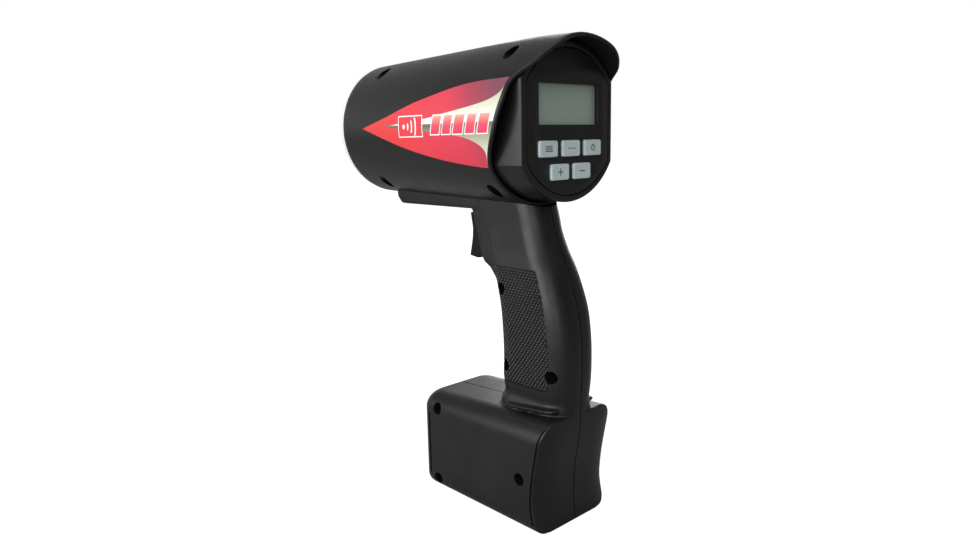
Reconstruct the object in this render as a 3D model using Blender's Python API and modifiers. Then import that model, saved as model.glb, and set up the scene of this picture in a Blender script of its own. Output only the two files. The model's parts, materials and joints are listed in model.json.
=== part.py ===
"""Hand-held cordless speed measuring instrument.

A tapered barrel with a hooded display sits on a pistol grip and a battery base. Metres, +Z up, +Y along the
beam, +X to the user's right. The world origin is at the middle of the base's box, on the surface it stands
on. Every sub-part hangs from one empty, at the crossing of the barrel's axis and the display's face.
"""

from math import atan2, cos, pi, radians, sin, sqrt

import bmesh
import bpy
from mathutils import Matrix, Vector

# Overall layout
AXIS_HEIGHT = 0.2555  # barrel axis above the base
FACE_TO_CENTRE = 0.084  # display face to the middle of the overall length
SEAM = 0.00015  # half the gap between a left and a right shell
GAP = 0.0003

# Barrel: (y, outer radius) along its axis, widest a little in front of the display
BARREL_PROFILE = ((-0.0240, 0.0502), (0.0180, 0.0513), (0.1757, 0.0469))
BARREL_FRONT_Y = 0.1757
BARREL_BACK_Y = -0.0240  # before the hood is cut
BARREL_WALL = 0.0024
BARREL_STEPS = 48
# Side view of the rear rim, from the crown down to the belly: (y, z)
HOOD_RIM = (
    (-0.0120, 0.0540),
    (-0.0150, 0.0440),
    (-0.0080, 0.0335),
    (0.0034, 0.0245),
    (0.0070, 0.0125),
    (0.0130, -0.0050),
    (0.0215, -0.0230),
    (0.0228, -0.0340),
    (0.0205, -0.0560),
)

# Display housing: a circle cut by two flats
HOUSING_RADIUS = 0.0476
HOUSING_FLAT = 0.0410
HOUSING_DEPTH = 0.026
HOUSING_WALL = 0.0024
PLATE_RADIUS = 0.0434
PLATE_FLAT = 0.0369
PLATE_THICKNESS = 0.0025
WINDOW_HALF_WIDTH = 0.0266
WINDOW_BOTTOM = -0.0013
WINDOW_TOP = 0.0224
WINDOW_RECESS = 0.0033

# Keys
KEY_WIDTH = 0.0160
KEY_HEIGHT = 0.0096
KEY_PITCH = 0.0201
KEY_UPPER_Z = -0.0152
KEY_LOWER_Z = -0.0290
KEY_CENTRE_X = 0.0006
KEY_PROUD = 0.0013
KEY_TRAVEL = 0.0008

# Lens and antenna
LENS_RADIUS = 0.0456
LENS_EDGE = 0.0040
LENS_CROWN_Y = 0.1830
LENS_WALL = 0.0024
SPIGOT_RADIUS = 0.0430
HORN_MOUTH_Y = 0.1620
HORN_THROAT_Y = 0.0880
HORN_MOUTH_RADIUS = 0.0310
HORN_THROAT_RADIUS = 0.0055
HORN_WALL = 0.0014

# Handle
HANDLE_WALL = 0.0026
SPINE_HALF_WIDTH = 0.0155
SPINE_BOTTOM_Z = -0.0545
SPINE_FRONT_Y = 0.1560
SPINE_REAR_Y = 0.0240
NOSE_HALF_WIDTH = 0.0105
# Grip sections: (z, front y, rear y, half width, front corner, rear corner)
GRIP_SECTIONS = (
    (-0.0420, 0.0690, 0.0190, 0.0142, 0.0030, 0.0136),
    (-0.0560, 0.0665, 0.0145, 0.0145, 0.0035, 0.0140),
    (-0.0660, 0.0622, 0.0116, 0.0148, 0.0040, 0.0144),
    (-0.0780, 0.0577, 0.0066, 0.0162, 0.0050, 0.0155),
    (-0.0900, 0.0545, 0.0008, 0.0175, 0.0080, 0.0157),
    (-0.1050, 0.0520, -0.0043, 0.0187, 0.0120, 0.0152),
    (-0.1180, 0.0503, -0.0079, 0.0190, 0.0140, 0.0150),
    (-0.1350, 0.0488, -0.0100, 0.0190, 0.0140, 0.0150),
    (-0.1500, 0.0484, -0.0103, 0.0190, 0.0140, 0.0150),
    (-0.1680, 0.0495, -0.0095, 0.0190, 0.0130, 0.0150),
    (-0.1800, 0.0505, -0.0090, 0.0195, 0.0120, 0.0150),
    (-0.1960, 0.0510, -0.0070, 0.0200, 0.0120, 0.0150),
)
# Side view of the nose that holds the trigger, without the grip behind it: (y, z)
NOSE_OUTLINE = (
    (0.0840, -0.0500),
    (0.0795, -0.0545),
    (0.0772, -0.0600),
    (0.0748, -0.0680),
    (0.0700, -0.0865),
    (0.0677, -0.0905),
    (0.0617, -0.0940),
    (0.0570, -0.1000),
    (0.0530, -0.1080),
    (0.0300, -0.1080),
    (0.0300, -0.0500),
)

# Battery base
BASE_HALF_WIDTH = 0.0337
BASE_FRONT_Y = 0.1125
BASE_REAR_Y = -0.0025
BASE_TOP_Z = -0.1860
BASE_SHOULDER = 0.0120  # radius of the top edges
BASE_FOOT = 0.0045  # radius of the bottom edges
BASE_CORNER = 0.0100  # radius of the upright corners
# Heel behind the grip, a little higher and wider than the base: (z, front y, rear y)
HEEL_TOP_Z = -0.1814
HEEL_SHOULDER = 0.0060
HEEL_FOOT = 0.0080
HEEL_HALF_WIDTH = 0.0341
HEEL_PROFILE = (
    (-0.1814, -0.0030, -0.0088),
    (-0.1880, -0.0020, -0.0089),
    (-0.1960, -0.0005, -0.0078),
    (-0.2060, 0.0023, -0.0062),
    (-0.2180, 0.0035, -0.0043),
    (-0.2340, 0.0049, -0.0035),
    (-0.2430, 0.0040, -0.0036),
    (-0.2510, 0.0016, -0.0044),
    (-0.2555, -0.0005, -0.0050),
)

# Collar under the grip: front y, rear y, half width, front corner, rear corner
COLLAR_PLAN = (0.0400, -0.0075, 0.0222, 0.0060, 0.0120)
COLLAR_HEIGHTS = (-0.1770, -0.1835)

# Screws: shaft along X, head in a recess on the left. (y, z)
SCREW_RADIUS = 0.0015
SCREW_HEAD_RADIUS = 0.0029
SCREW_HEAD_DEPTH = 0.0022
RECESS_RADIUS = 0.0035
BOSS_RADIUS = 0.0048
HEAD_X = -0.0085  # face that the heads bear on
SCREW_END_X = 0.0120
BARREL_SCREWS = ((0.1482, 0.0380), (0.1505, -0.0380), (0.0175, 0.0402), (0.0335, -0.0402))
GRIP_SCREWS = ((0.0435, -0.1045), (0.0400, -0.1553), (0.0000, -0.1551))
BASE_SCREWS = ((0.0942, -0.1956), (0.0948, -0.2483), (0.0134, -0.2217))

# Trigger
TRIGGER_HALF_WIDTH = 0.0068
TRIGGER_PIN = (0.0690, -0.0600)
TRIGGER_PIN_RADIUS = 0.0020
TRIGGER_PULL = 12  # degrees
# Side view of the trigger: (y, z)
TRIGGER_OUTLINE = (
    (0.0700, -0.0565),
    (0.0822, -0.0578),
    (0.0830, -0.0600),
    (0.0816, -0.0680),
    (0.0822, -0.0760),
    (0.0842, -0.0850),
    (0.0846, -0.0872),
    (0.0836, -0.0880),
    (0.0735, -0.0884),
    (0.0690, -0.0800),
    (0.0655, -0.0640),
    (0.0653, -0.0600),
    (0.0662, -0.0575),
    (0.0678, -0.0565),
)
POCKET_HALF_WIDTH = 0.0075
POCKET_TOP = -0.0556
POCKET_FLOOR = -0.0900
SPRING_COIL_RADIUS = 0.0029
SPRING_TURNS = 3
PLUNGER_Z = -0.0805
PLUNGER_TIP_Y = 0.0650
PLUNGER_TRAVEL = 0.0010

# Battery pack
CELL_RADIUS = 0.0110
CELL_HEIGHT = 0.0430
CELL_PITCH = 0.0224
CELL_FIRST_Y = 0.0316
CELL_BOTTOM_Z = -0.2480
CELL_ROWS = 3
WIRE_WAY = (0.0450, 0.0060)  # y and radius of the hole between barrel and handle
LEAD_RADIUS = 0.0017
LEAD_ROUTE = (
    (0, 0.0600, -0.1995),
    (0, 0.0460, -0.1930),
    (0, 0.0260, -0.1800),
    (0, 0.0180, -0.1600),
    (0, 0.0180, -0.1200),
    (0, 0.0260, -0.0900),
    (0, 0.0360, -0.0680),
    (0, 0.0450, -0.0560),
    (0, 0.0450, -0.0400),
    (0, 0.0460, -0.0310),
)


def value_at(profile, where):
    """Reads a rising profile of pairs at a value of its first column."""
    for (a, low), (b, high) in zip(profile, profile[1:]):
        if where <= b:
            return low + (high - low) * (where - a) / (b - a)
    return profile[-1][1]


def barrel_radius(y):
    """Outer radius of the barrel at distance y in front of the display."""
    return value_at(BARREL_PROFILE, y)


def clear_scene():
    for obj in list(bpy.data.objects):
        bpy.data.objects.remove(obj)
    for block in list(bpy.data.meshes):
        bpy.data.meshes.remove(block)


clear_scene()
PARTS = bpy.data.collections.new("speed_gun")
CUTTERS = bpy.data.collections.new("cutters")
bpy.context.scene.collection.children.link(PARTS)
bpy.context.scene.collection.children.link(CUTTERS)
CUTTERS.hide_render = True
ROOT = bpy.data.objects.new("barrel_axis_at_display", None)
PARTS.objects.link(ROOT)
ROOT.location = (0, -FACE_TO_CENTRE, AXIS_HEIGHT)


def material(name, colour, roughness, metallic=0.0):
    found = bpy.data.materials.get(name)
    if found:
        return found
    made = bpy.data.materials.new(name)
    made.use_nodes = True
    shader = made.node_tree.nodes["Principled BSDF"]
    shader.inputs["Base Color"].default_value = (*colour, 1)
    shader.inputs["Roughness"].default_value = roughness
    shader.inputs["Metallic"].default_value = metallic
    made.diffuse_color = (*colour, 1)
    return made


BLACK = material("black_housing", (0.022, 0.023, 0.025), 0.42)
LENS_WHITE = material("lens_white", (0.78, 0.79, 0.76), 0.35)
KEY_GREY = material("key_grey", (0.52, 0.58, 0.60), 0.45)
GLASS = material("display_glass", (0.15, 0.20, 0.16), 0.12)
RUBBER = material("rubber", (0.03, 0.03, 0.03), 0.80)
BOARD = material("circuit_board", (0.02, 0.12, 0.05), 0.50)
ALUMINIUM = material("aluminium", (0.75, 0.76, 0.78), 0.35, 1.0)
STEEL = material("steel", (0.55, 0.55, 0.56), 0.35, 1.0)
BLACK_STEEL = material("black_steel", (0.05, 0.05, 0.05), 0.40, 1.0)
CELL_WRAP = material("cell_wrap", (0.05, 0.10, 0.30), 0.40)
WIRE = material("wire", (0.25, 0.02, 0.02), 0.50)


def finish(obj, look):
    """Puts a part in its collection, under the empty, with its material and smooth round faces."""
    PARTS.objects.link(obj)
    obj.parent = ROOT
    obj.data.materials.clear()
    obj.data.materials.append(look)
    if obj.type == "MESH":
        obj.data.shade_smooth()
        obj.data.set_sharp_from_angle(angle=radians(35))
    return obj


def helper(obj):
    """Makes an object a cutter or a shape to join, which is never a part itself."""
    CUTTERS.objects.link(obj)
    obj.parent = ROOT
    obj.hide_render = True
    obj.display_type = "WIRE"
    return obj


def mesh_object(name, bm):
    bmesh.ops.recalc_face_normals(bm, faces=bm.faces)
    mesh = bpy.data.meshes.new(name)
    bm.to_mesh(mesh)
    bm.free()
    return bpy.data.objects.new(name, mesh)


def add_box(bm, low, high):
    low, high = Vector(low), Vector(high)
    place = Matrix.Translation((low + high) / 2) @ Matrix.Diagonal((*(high - low), 1))
    bmesh.ops.create_cube(bm, size=1, matrix=place)


def add_rod(bm, start, end, radius, sides=24):
    """A cylinder between two points."""
    start, end = Vector(start), Vector(end)
    turn = (end - start).to_track_quat("Z", "Y").to_matrix().to_4x4()
    bmesh.ops.create_cone(
        bm,
        cap_ends=True,
        segments=sides,
        radius1=radius,
        radius2=radius,
        depth=(end - start).length,
        matrix=Matrix.Translation((start + end) / 2) @ turn,
    )


def box(name, low, high, bevel=0.0, segments=2):
    bm = bmesh.new()
    add_box(bm, low, high)
    obj = mesh_object(name, bm)
    if bevel:
        round_edges(obj, bevel, segments)
    return obj


def rods(name, runs, radius, sides=24):
    """One mesh of cylinders, each given by its two ends."""
    bm = bmesh.new()
    for start, end in runs:
        add_rod(bm, start, end, radius, sides)
    return mesh_object(name, bm)


def round_edges(obj, width, segments=2, angle=35):
    bevel = obj.modifiers.new("round_edges", "BEVEL")
    bevel.width = width
    bevel.segments = segments
    bevel.limit_method = "ANGLE"
    bevel.angle_limit = radians(angle)


def boolean(obj, other, operation):
    change = obj.modifiers.new(other.name, "BOOLEAN")
    change.operation = operation
    change.object = other
    return obj


def cut(obj, *cutters):
    for cutter in cutters:
        boolean(obj, cutter, "DIFFERENCE")
    return obj


def turned(name, profile, steps=48):
    """A solid of revolution about the barrel's axis: (radius, y) down its outer side, from high y to low."""
    mesh = bpy.data.meshes.new(name)
    points = [(radius, 0, y) for radius, y in profile]
    closed = all(radius > 0 for radius, _ in profile)
    edges = [(i, i + 1) for i in range(len(points) - 1)]
    if closed:
        edges.append((len(points) - 1, 0))
    mesh.from_pydata(points, edges, [])
    obj = bpy.data.objects.new(name, mesh)
    obj.rotation_euler = (radians(-90), 0, 0)
    screw = obj.modifiers.new("turn", "SCREW")
    screw.steps = screw.render_steps = steps
    screw.use_merge_vertices = True
    screw.merge_threshold = 0.00001
    return obj


def mesh_of_curve(name, curve):
    """The mesh of a curve, with the points of its caps and its sides made one."""
    drawn = bpy.data.objects.new(name, curve)
    CUTTERS.objects.link(drawn)
    graph = bpy.context.evaluated_depsgraph_get()
    mesh = bpy.data.meshes.new_from_object(drawn.evaluated_get(graph))
    bpy.data.objects.remove(drawn)
    bm = bmesh.new()
    bm.from_mesh(mesh)
    bpy.data.meshes.remove(mesh)
    bmesh.ops.remove_doubles(bm, verts=bm.verts, dist=0.000001)
    return bm


def polyline(curve, points, cyclic):
    spline = curve.splines.new("POLY")
    spline.points.add(len(points) - 1)
    for point, place in zip(spline.points, points):
        point.co = (*place, 1)
    spline.use_cyclic_u = cyclic


def prism(name, outline, x_low, x_high):
    """A side view, as (y, z) points, extruded along X."""
    curve = bpy.data.curves.new(name, "CURVE")
    curve.dimensions = "2D"
    curve.fill_mode = "BOTH"
    curve.extrude = (x_high - x_low) / 2
    polyline(curve, [(y, z, 0) for y, z in outline], True)
    bm = mesh_of_curve(name, curve)
    # The curve is drawn in its own XY plane: its X becomes Y, its Y becomes Z and its Z becomes X.
    stand = Matrix(((0, 0, 1, (x_low + x_high) / 2), (1, 0, 0, 0), (0, 1, 0, 0), (0, 0, 0, 1)))
    bmesh.ops.transform(bm, matrix=stand, verts=bm.verts)
    return mesh_object(name, bm)


def wire(name, points, radius):
    """A round wire along a list of points."""
    curve = bpy.data.curves.new(name, "CURVE")
    curve.dimensions = "3D"
    curve.bevel_depth = radius
    curve.bevel_resolution = 1
    curve.use_fill_caps = True
    polyline(curve, points, False)
    return mesh_object(name, mesh_of_curve(name, curve))


def smooth_line(points, per_span):
    """Points on a Catmull-Rom curve through the given ones."""
    ends = [points[0], *points, points[-1]]
    line = []
    for before, start, end, after in zip(ends, ends[1:], ends[2:], ends[3:]):
        for step in range(per_span):
            t = step / per_span
            line.append(
                tuple(
                    b + 0.5 * t * (c - a + t * (2 * a - 5 * b + 4 * c - d + t * (3 * b - a - 3 * c + d)))
                    for a, b, c, d in zip(before, start, end, after)
                )
            )
    line.append(tuple(points[-1]))
    return line


def plan_ring(z, front, rear, half_width, front_corner, rear_corner, corner_steps=5):
    """Points of a rounded rectangle at height z, anticlockwise seen from above."""
    ring = []
    corners = (
        (half_width, front, front_corner, 0),
        (-half_width, front, front_corner, 90),
        (-half_width, rear, rear_corner, 180),
        (half_width, rear, rear_corner, 270),
    )
    for x, y, radius, start in corners:
        centre_x = x - radius if x > 0 else x + radius
        centre_y = y - radius if start < 180 else y + radius
        for step in range(corner_steps + 1):
            angle = radians(start + 90 * step / corner_steps)
            ring.append((centre_x + radius * cos(angle), centre_y + radius * sin(angle), z))
    return ring


def loft(name, rings):
    """A closed skin through rings of the same number of points, from the highest ring to the lowest."""
    bm = bmesh.new()
    loops = [[bm.verts.new(point) for point in ring] for ring in rings]
    count = len(rings[0])
    for upper, lower in zip(loops, loops[1:]):
        for i in range(count):
            j = (i + 1) % count
            bm.faces.new((upper[i], lower[i], lower[j], upper[j]))
    bm.faces.new(loops[0])
    bm.faces.new(list(reversed(loops[-1])))
    return mesh_object(name, bm)


def side_box(side):
    """A block that covers the other half of the object, so that cutting it leaves one side."""
    far = 0.30
    if side == "left":
        return helper(box("right_half", (-SEAM, -far, -far), (far, far, far)))
    return helper(box("left_half", (-far, -far, -far), (SEAM, far, far)))


def screw_runs(places, start_x, end_x):
    return [((start_x, y, z), (end_x, y, z)) for y, z in places]


def bosses(name, places, half_length, core):
    """Pillars across the object for its screws, trimmed to lie under the skin."""
    pillars = helper(rods(name, screw_runs(places, -half_length, half_length), BOSS_RADIUS, 16))
    return boolean(pillars, core, "INTERSECT")


def screw_holes(name, places, half_length):
    """Shaft holes, and the wider recesses for the heads on the left."""
    shaft_runs = screw_runs(places, HEAD_X - 0.002, SCREW_END_X + 0.001)
    shafts = helper(rods(name + "_shafts", shaft_runs, SCREW_RADIUS + 0.0002, 12))
    recesses = helper(rods(name + "_recesses", screw_runs(places, -half_length, HEAD_X), RECESS_RADIUS, 16))
    return shafts, recesses


# ---------------------------------------------------------------- barrel


def hood_cutter():
    rim = smooth_line(HOOD_RIM, 3)
    return helper(prism("behind_the_rim", [*rim, (-0.08, -0.056), (-0.08, 0.054)], -0.06, 0.06))


def barrel_outline(extra):
    """(radius, y) of the barrel's skin from front to back, grown by extra, and slightly longer."""
    ends = (BARREL_FRONT_Y + 0.001, 0.018, BARREL_BACK_Y - 0.001)
    return [(barrel_radius(y) + extra, y) for y in ends]


def barrel_solid(name, extra):
    """The barrel as a solid round bar, grown or shrunk by extra."""
    skin = barrel_outline(extra)
    return helper(turned(name, [(0, skin[0][1]), *skin, (0, skin[-1][1])], BARREL_STEPS))


def make_barrel():
    core = barrel_solid("barrel_core", -0.0006)
    hood = hood_cutter()
    pillars = bosses("barrel_bosses", BARREL_SCREWS, 0.05, core)
    holes = screw_holes("barrel_screw", BARREL_SCREWS, 0.06)
    front, widest, back = BARREL_FRONT_Y, 0.018, BARREL_BACK_Y
    chamfer = 0.001
    profile = (
        (barrel_radius(front) - chamfer, front),
        (barrel_radius(front), front - chamfer),
        (barrel_radius(widest), widest),
        (barrel_radius(back), back),
        (barrel_radius(back) - BARREL_WALL, back),
        (barrel_radius(widest) - BARREL_WALL, widest),
        (barrel_radius(front) - BARREL_WALL, front),
    )
    for side in ("left", "right"):
        shell = turned(f"barrel_{side}_shell", profile, BARREL_STEPS)
        boolean(shell, pillars, "UNION")
        cut(shell, *holes, wire_way(), hood, side_box(side))
        finish(shell, BLACK)


def wire_way():
    """The hole through barrel and handle that the battery's lead passes."""
    y, radius = WIRE_WAY
    return helper(rods("wire_way", [((0, y, -0.060), (0, y, -0.040))], radius, 16))


# ---------------------------------------------------------------- display end


def flat_sided_outline(radius, flat, arc_steps=14):
    """A circle cut by two upright flats, as (x, z) points, anticlockwise seen from behind."""
    start = atan2(sqrt(radius**2 - flat**2), flat)
    angles = [start + (pi - 2 * start) * step / arc_steps for step in range(arc_steps + 1)]
    upper = [(radius * cos(angle), radius * sin(angle)) for angle in angles]
    return upper + [(-x, -z) for x, z in upper]


def slab(name, outline, y_low, y_high):
    """An (x, z) outline extruded along Y."""
    obj = prism(name, outline, -y_high, -y_low)
    # The prism lies along X: turning it about Z brings its length to Y and its first coordinate to X.
    obj.data.transform(Matrix(((0, 1, 0, 0), (-1, 0, 0, 0), (0, 0, 1, 0), (0, 0, 0, 1))))
    return obj


def key_places():
    """(name, x, z) of each key."""
    left, middle, right = (KEY_CENTRE_X + KEY_PITCH * step for step in (-1, 0, 1))
    return (
        ("key_upper_left", left, KEY_UPPER_Z),
        ("key_upper_middle", middle, KEY_UPPER_Z),
        ("key_upper_right", right, KEY_UPPER_Z),
        ("key_lower_left", (left + middle) / 2, KEY_LOWER_Z),
        ("key_lower_right", (middle + right) / 2, KEY_LOWER_Z),
    )


def make_housing():
    housing = slab("rear_housing", flat_sided_outline(HOUSING_RADIUS, HOUSING_FLAT), 0, HOUSING_DEPTH)
    round_edges(housing, 0.0012, 1, 60)
    inner = flat_sided_outline(HOUSING_RADIUS - HOUSING_WALL, HOUSING_FLAT - HOUSING_WALL)
    hollow = helper(slab("housing_hollow", inner, PLATE_THICKNESS + 0.002, HOUSING_DEPTH + 0.01))
    seat_outline = flat_sided_outline(PLATE_RADIUS + GAP, PLATE_FLAT + GAP)
    seat = helper(slab("plate_seat", seat_outline, -0.01, PLATE_THICKNESS + GAP))
    ledge_outline = flat_sided_outline(PLATE_RADIUS - 0.002, PLATE_FLAT - 0.002)
    ledge = helper(slab("plate_ledge", ledge_outline, 0.001, 0.01))
    boss_y, boss_z = BARREL_SCREWS[2]
    room = BOSS_RADIUS + 0.0006
    notch = helper(box("boss_notch", (-0.05, boss_y - room, boss_z - room), (0.05, 0.05, 0.06)))
    cut(housing, hollow, seat, ledge, notch)
    finish(housing, BLACK)


def make_face_plate():
    plate = slab("face_plate", flat_sided_outline(PLATE_RADIUS, PLATE_FLAT), 0, PLATE_THICKNESS)
    low, high = (-WINDOW_HALF_WIDTH, -0.01, WINDOW_BOTTOM), (WINDOW_HALF_WIDTH, 0.01, WINDOW_TOP)
    opening = helper(box("window_opening", low, high))
    half_x, half_z = KEY_WIDTH / 2 + GAP, KEY_HEIGHT / 2 + GAP
    bm = bmesh.new()
    for _, x, z in key_places():
        add_box(bm, (x - half_x, -0.01, z - half_z), (x + half_x, 0.01, z + half_z))
    cut(plate, opening, helper(mesh_object("key_openings", bm)))
    finish(plate, BLACK)


def make_keys():
    """Each key's cap passes through the plate, and its flange stops against the plate's back."""
    flange_y = PLATE_THICKNESS + GAP
    half_x, half_z = KEY_WIDTH / 2, KEY_HEIGHT / 2
    lip = 0.001
    for name, x, z in key_places():
        bm = bmesh.new()
        add_box(bm, (x - half_x, -KEY_PROUD, z - half_z), (x + half_x, flange_y + 0.0004, z + half_z))
        along = [edge for edge in bm.edges if abs(edge.verts[0].co.y - edge.verts[1].co.y) > 0.001]
        bmesh.ops.bevel(bm, geom=along, offset=0.0014, segments=2, profile=0.5, affect="EDGES")
        key = mesh_object(name, bm)
        low = (x - half_x - lip, flange_y, z - half_z - lip)
        high = (x + half_x + lip, flange_y + 0.0008, z + half_z + lip)
        boolean(key, helper(box(name + "_flange", low, high)), "UNION")
        for piece in (key, bpy.data.objects[name + "_flange"]):
            set_origin(piece, (x, 0, z))
        finish(key, KEY_GREY)


def make_display():
    """Window, liquid crystal module, keypad and board, one behind the other."""
    margin = 0.0016
    low_x, high_x = -WINDOW_HALF_WIDTH - margin, WINDOW_HALF_WIDTH + margin
    low_z, high_z = WINDOW_BOTTOM - margin, WINDOW_TOP + margin
    window_back = WINDOW_RECESS + 0.0010
    finish(box("display_window", (low_x, WINDOW_RECESS, low_z), (high_x, window_back, high_z)), GLASS)
    module_front = window_back + GAP
    module_back = module_front + 0.0034
    low, high = (low_x, module_front, low_z - 0.001), (high_x, module_back, high_z + 0.003)
    finish(box("display_module", low, high), BOARD)
    mat_front = PLATE_THICKNESS + GAP + 0.0008 + KEY_TRAVEL + GAP
    mat = slab("keypad_mat", flat_sided_outline(0.0405, 0.0340, 8), mat_front, mat_front + 0.0014)
    cut(mat, helper(box("above_the_keys", (-0.05, -0.01, -0.0060), (0.05, 0.02, 0.05))))
    finish(mat, RUBBER)
    board_front = module_back + GAP
    board = flat_sided_outline(0.0395, 0.0345, 8)
    finish(slab("display_board", board, board_front, board_front + 0.0016), BOARD)


# ---------------------------------------------------------------- electronics in the barrel


def make_antenna():
    """The horn, the microwave block at its throat, and the ring that holds it in the barrel."""
    slope = (HORN_MOUTH_RADIUS - HORN_THROAT_RADIUS) / (HORN_MOUTH_Y - HORN_THROAT_Y)
    flange_y = HORN_THROAT_Y + 0.003
    profile = (
        (HORN_MOUTH_RADIUS + 0.0030, HORN_MOUTH_Y),
        (HORN_MOUTH_RADIUS + 0.0030, HORN_MOUTH_Y - 0.0015),
        (HORN_MOUTH_RADIUS + HORN_WALL, HORN_MOUTH_Y - 0.0015),
        (HORN_THROAT_RADIUS + HORN_WALL + slope * 0.003, flange_y),
        (0.0120, flange_y),
        (0.0120, HORN_THROAT_Y),
        (HORN_THROAT_RADIUS, HORN_THROAT_Y),
        (HORN_MOUTH_RADIUS, HORN_MOUTH_Y),
    )
    finish(turned("horn_antenna", profile, 32), ALUMINIUM)
    low, high = (-0.014, 0.056, -0.014), (0.014, HORN_THROAT_Y - GAP, 0.014)
    finish(box("microwave_module", low, high, 0.0015, 1), ALUMINIUM)
    ring_back, ring_front = 0.1280, 0.1310
    inner = HORN_THROAT_RADIUS + HORN_WALL + slope * (ring_front - HORN_THROAT_Y) + 0.0006
    outer = barrel_radius(ring_front) - BARREL_WALL - 0.0004
    ring = ((outer, ring_front), (outer, ring_back), (inner, ring_back), (inner, ring_front))
    finish(turned("antenna_ring", ring, 32), BLACK)


def make_lens():
    """A domed cover whose spigot plugs into the barrel, with a gasket round the spigot."""
    seat = BARREL_FRONT_Y + GAP
    edge = seat + LENS_EDGE
    rise = LENS_CROWN_Y - edge
    inner = SPIGOT_RADIUS - LENS_WALL
    dome = [(LENS_RADIUS * sin(a), edge + rise * cos(a)) for a in map(radians, (0, 25, 50, 75))]
    under = [(inner * sin(a), edge - LENS_WALL + rise * cos(a)) for a in map(radians, (90, 50, 0))]
    profile = (
        *dome,
        (LENS_RADIUS, edge - 0.0008),
        (LENS_RADIUS, seat),
        (SPIGOT_RADIUS, seat),
        (SPIGOT_RADIUS, seat - 0.006),
        (inner, seat - 0.006),
        *under,
    )
    finish(turned("front_lens", profile, BARREL_STEPS), LENS_WHITE)
    gasket_y = seat - 0.0035
    wall_inside = barrel_radius(gasket_y) - BARREL_WALL
    middle = (SPIGOT_RADIUS + wall_inside) / 2
    thickness = (wall_inside - SPIGOT_RADIUS) / 2 - GAP
    turns = map(radians, (0, 90, 180, 270))
    section = [(middle + thickness * cos(a), gasket_y - thickness * sin(a)) for a in turns]
    finish(turned("lens_gasket", section, 32), RUBBER)


def make_boards():
    finish(box("processor_board", (-0.0300, 0.0450, -0.0250), (0.0300, 0.0466, 0.0300)), BOARD)
    finish(box("sounder", (-0.0100, 0.0475, -0.0230), (0.0100, 0.0530, -0.0050), 0.0030, 2), BLACK)


# ---------------------------------------------------------------- handle


def grip_loft(name, inset):
    rings = []
    for z, front, rear, half_width, front_corner, rear_corner in GRIP_SECTIONS:
        corners = max(front_corner - inset, 0.001), max(rear_corner - inset, 0.001)
        rings.append(plan_ring(z, front - inset, rear + inset, half_width - inset, *corners))
    return loft(name, rings)


def shoulder_levels(top, radius):
    """(height, tuck) down a rounded top edge: tuck is how far the wall stands in."""
    turns = map(radians, (0, 30, 60, 90))
    return [(top - radius * (1 - cos(a)), radius * (1 - sin(a))) for a in turns]


def foot_levels(bottom, radius):
    return [(bottom + radius * (1 - sin(a)), radius * (1 - cos(a))) for a in map(radians, (0, 45, 90))]


def base_loft(name, inset):
    """The battery box: rounded corners in plan, round shoulders above and a small round foot below."""
    levels = shoulder_levels(BASE_TOP_Z - inset, BASE_SHOULDER - inset)
    levels += foot_levels(-AXIS_HEIGHT + inset, max(BASE_FOOT - inset, 0.001))
    rings = []
    for z, tuck in levels:
        corner = max(BASE_CORNER - inset - tuck * 0.3, 0.002)
        front, rear = BASE_FRONT_Y - inset - tuck * 0.7, BASE_REAR_Y + inset + tuck * 0.7
        rings.append(plan_ring(z, front, rear, BASE_HALF_WIDTH - inset - tuck, corner, corner))
    return loft(name, rings)


def heel_loft():
    """The heel that closes the base behind the grip."""
    fronts = [(z, front) for z, front, _ in reversed(HEEL_PROFILE)]
    rears = [(z, rear) for z, _, rear in reversed(HEEL_PROFILE)]
    levels = shoulder_levels(HEEL_TOP_Z, HEEL_SHOULDER)
    levels += [(z, 0.0) for z, _, _ in HEEL_PROFILE[2:-3]]
    levels += foot_levels(-AXIS_HEIGHT, HEEL_FOOT)
    rings = []
    for z, tuck in levels:
        rear = value_at(rears, z) + tuck * 0.7
        front = max(value_at(fronts, z), rear + 0.003)
        corner = min(0.0080, front - rear - 0.0008)
        rings.append(plan_ring(z, front, rear, HEEL_HALF_WIDTH - tuck, 0.0006, corner))
    return loft("heel", rings)


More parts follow.
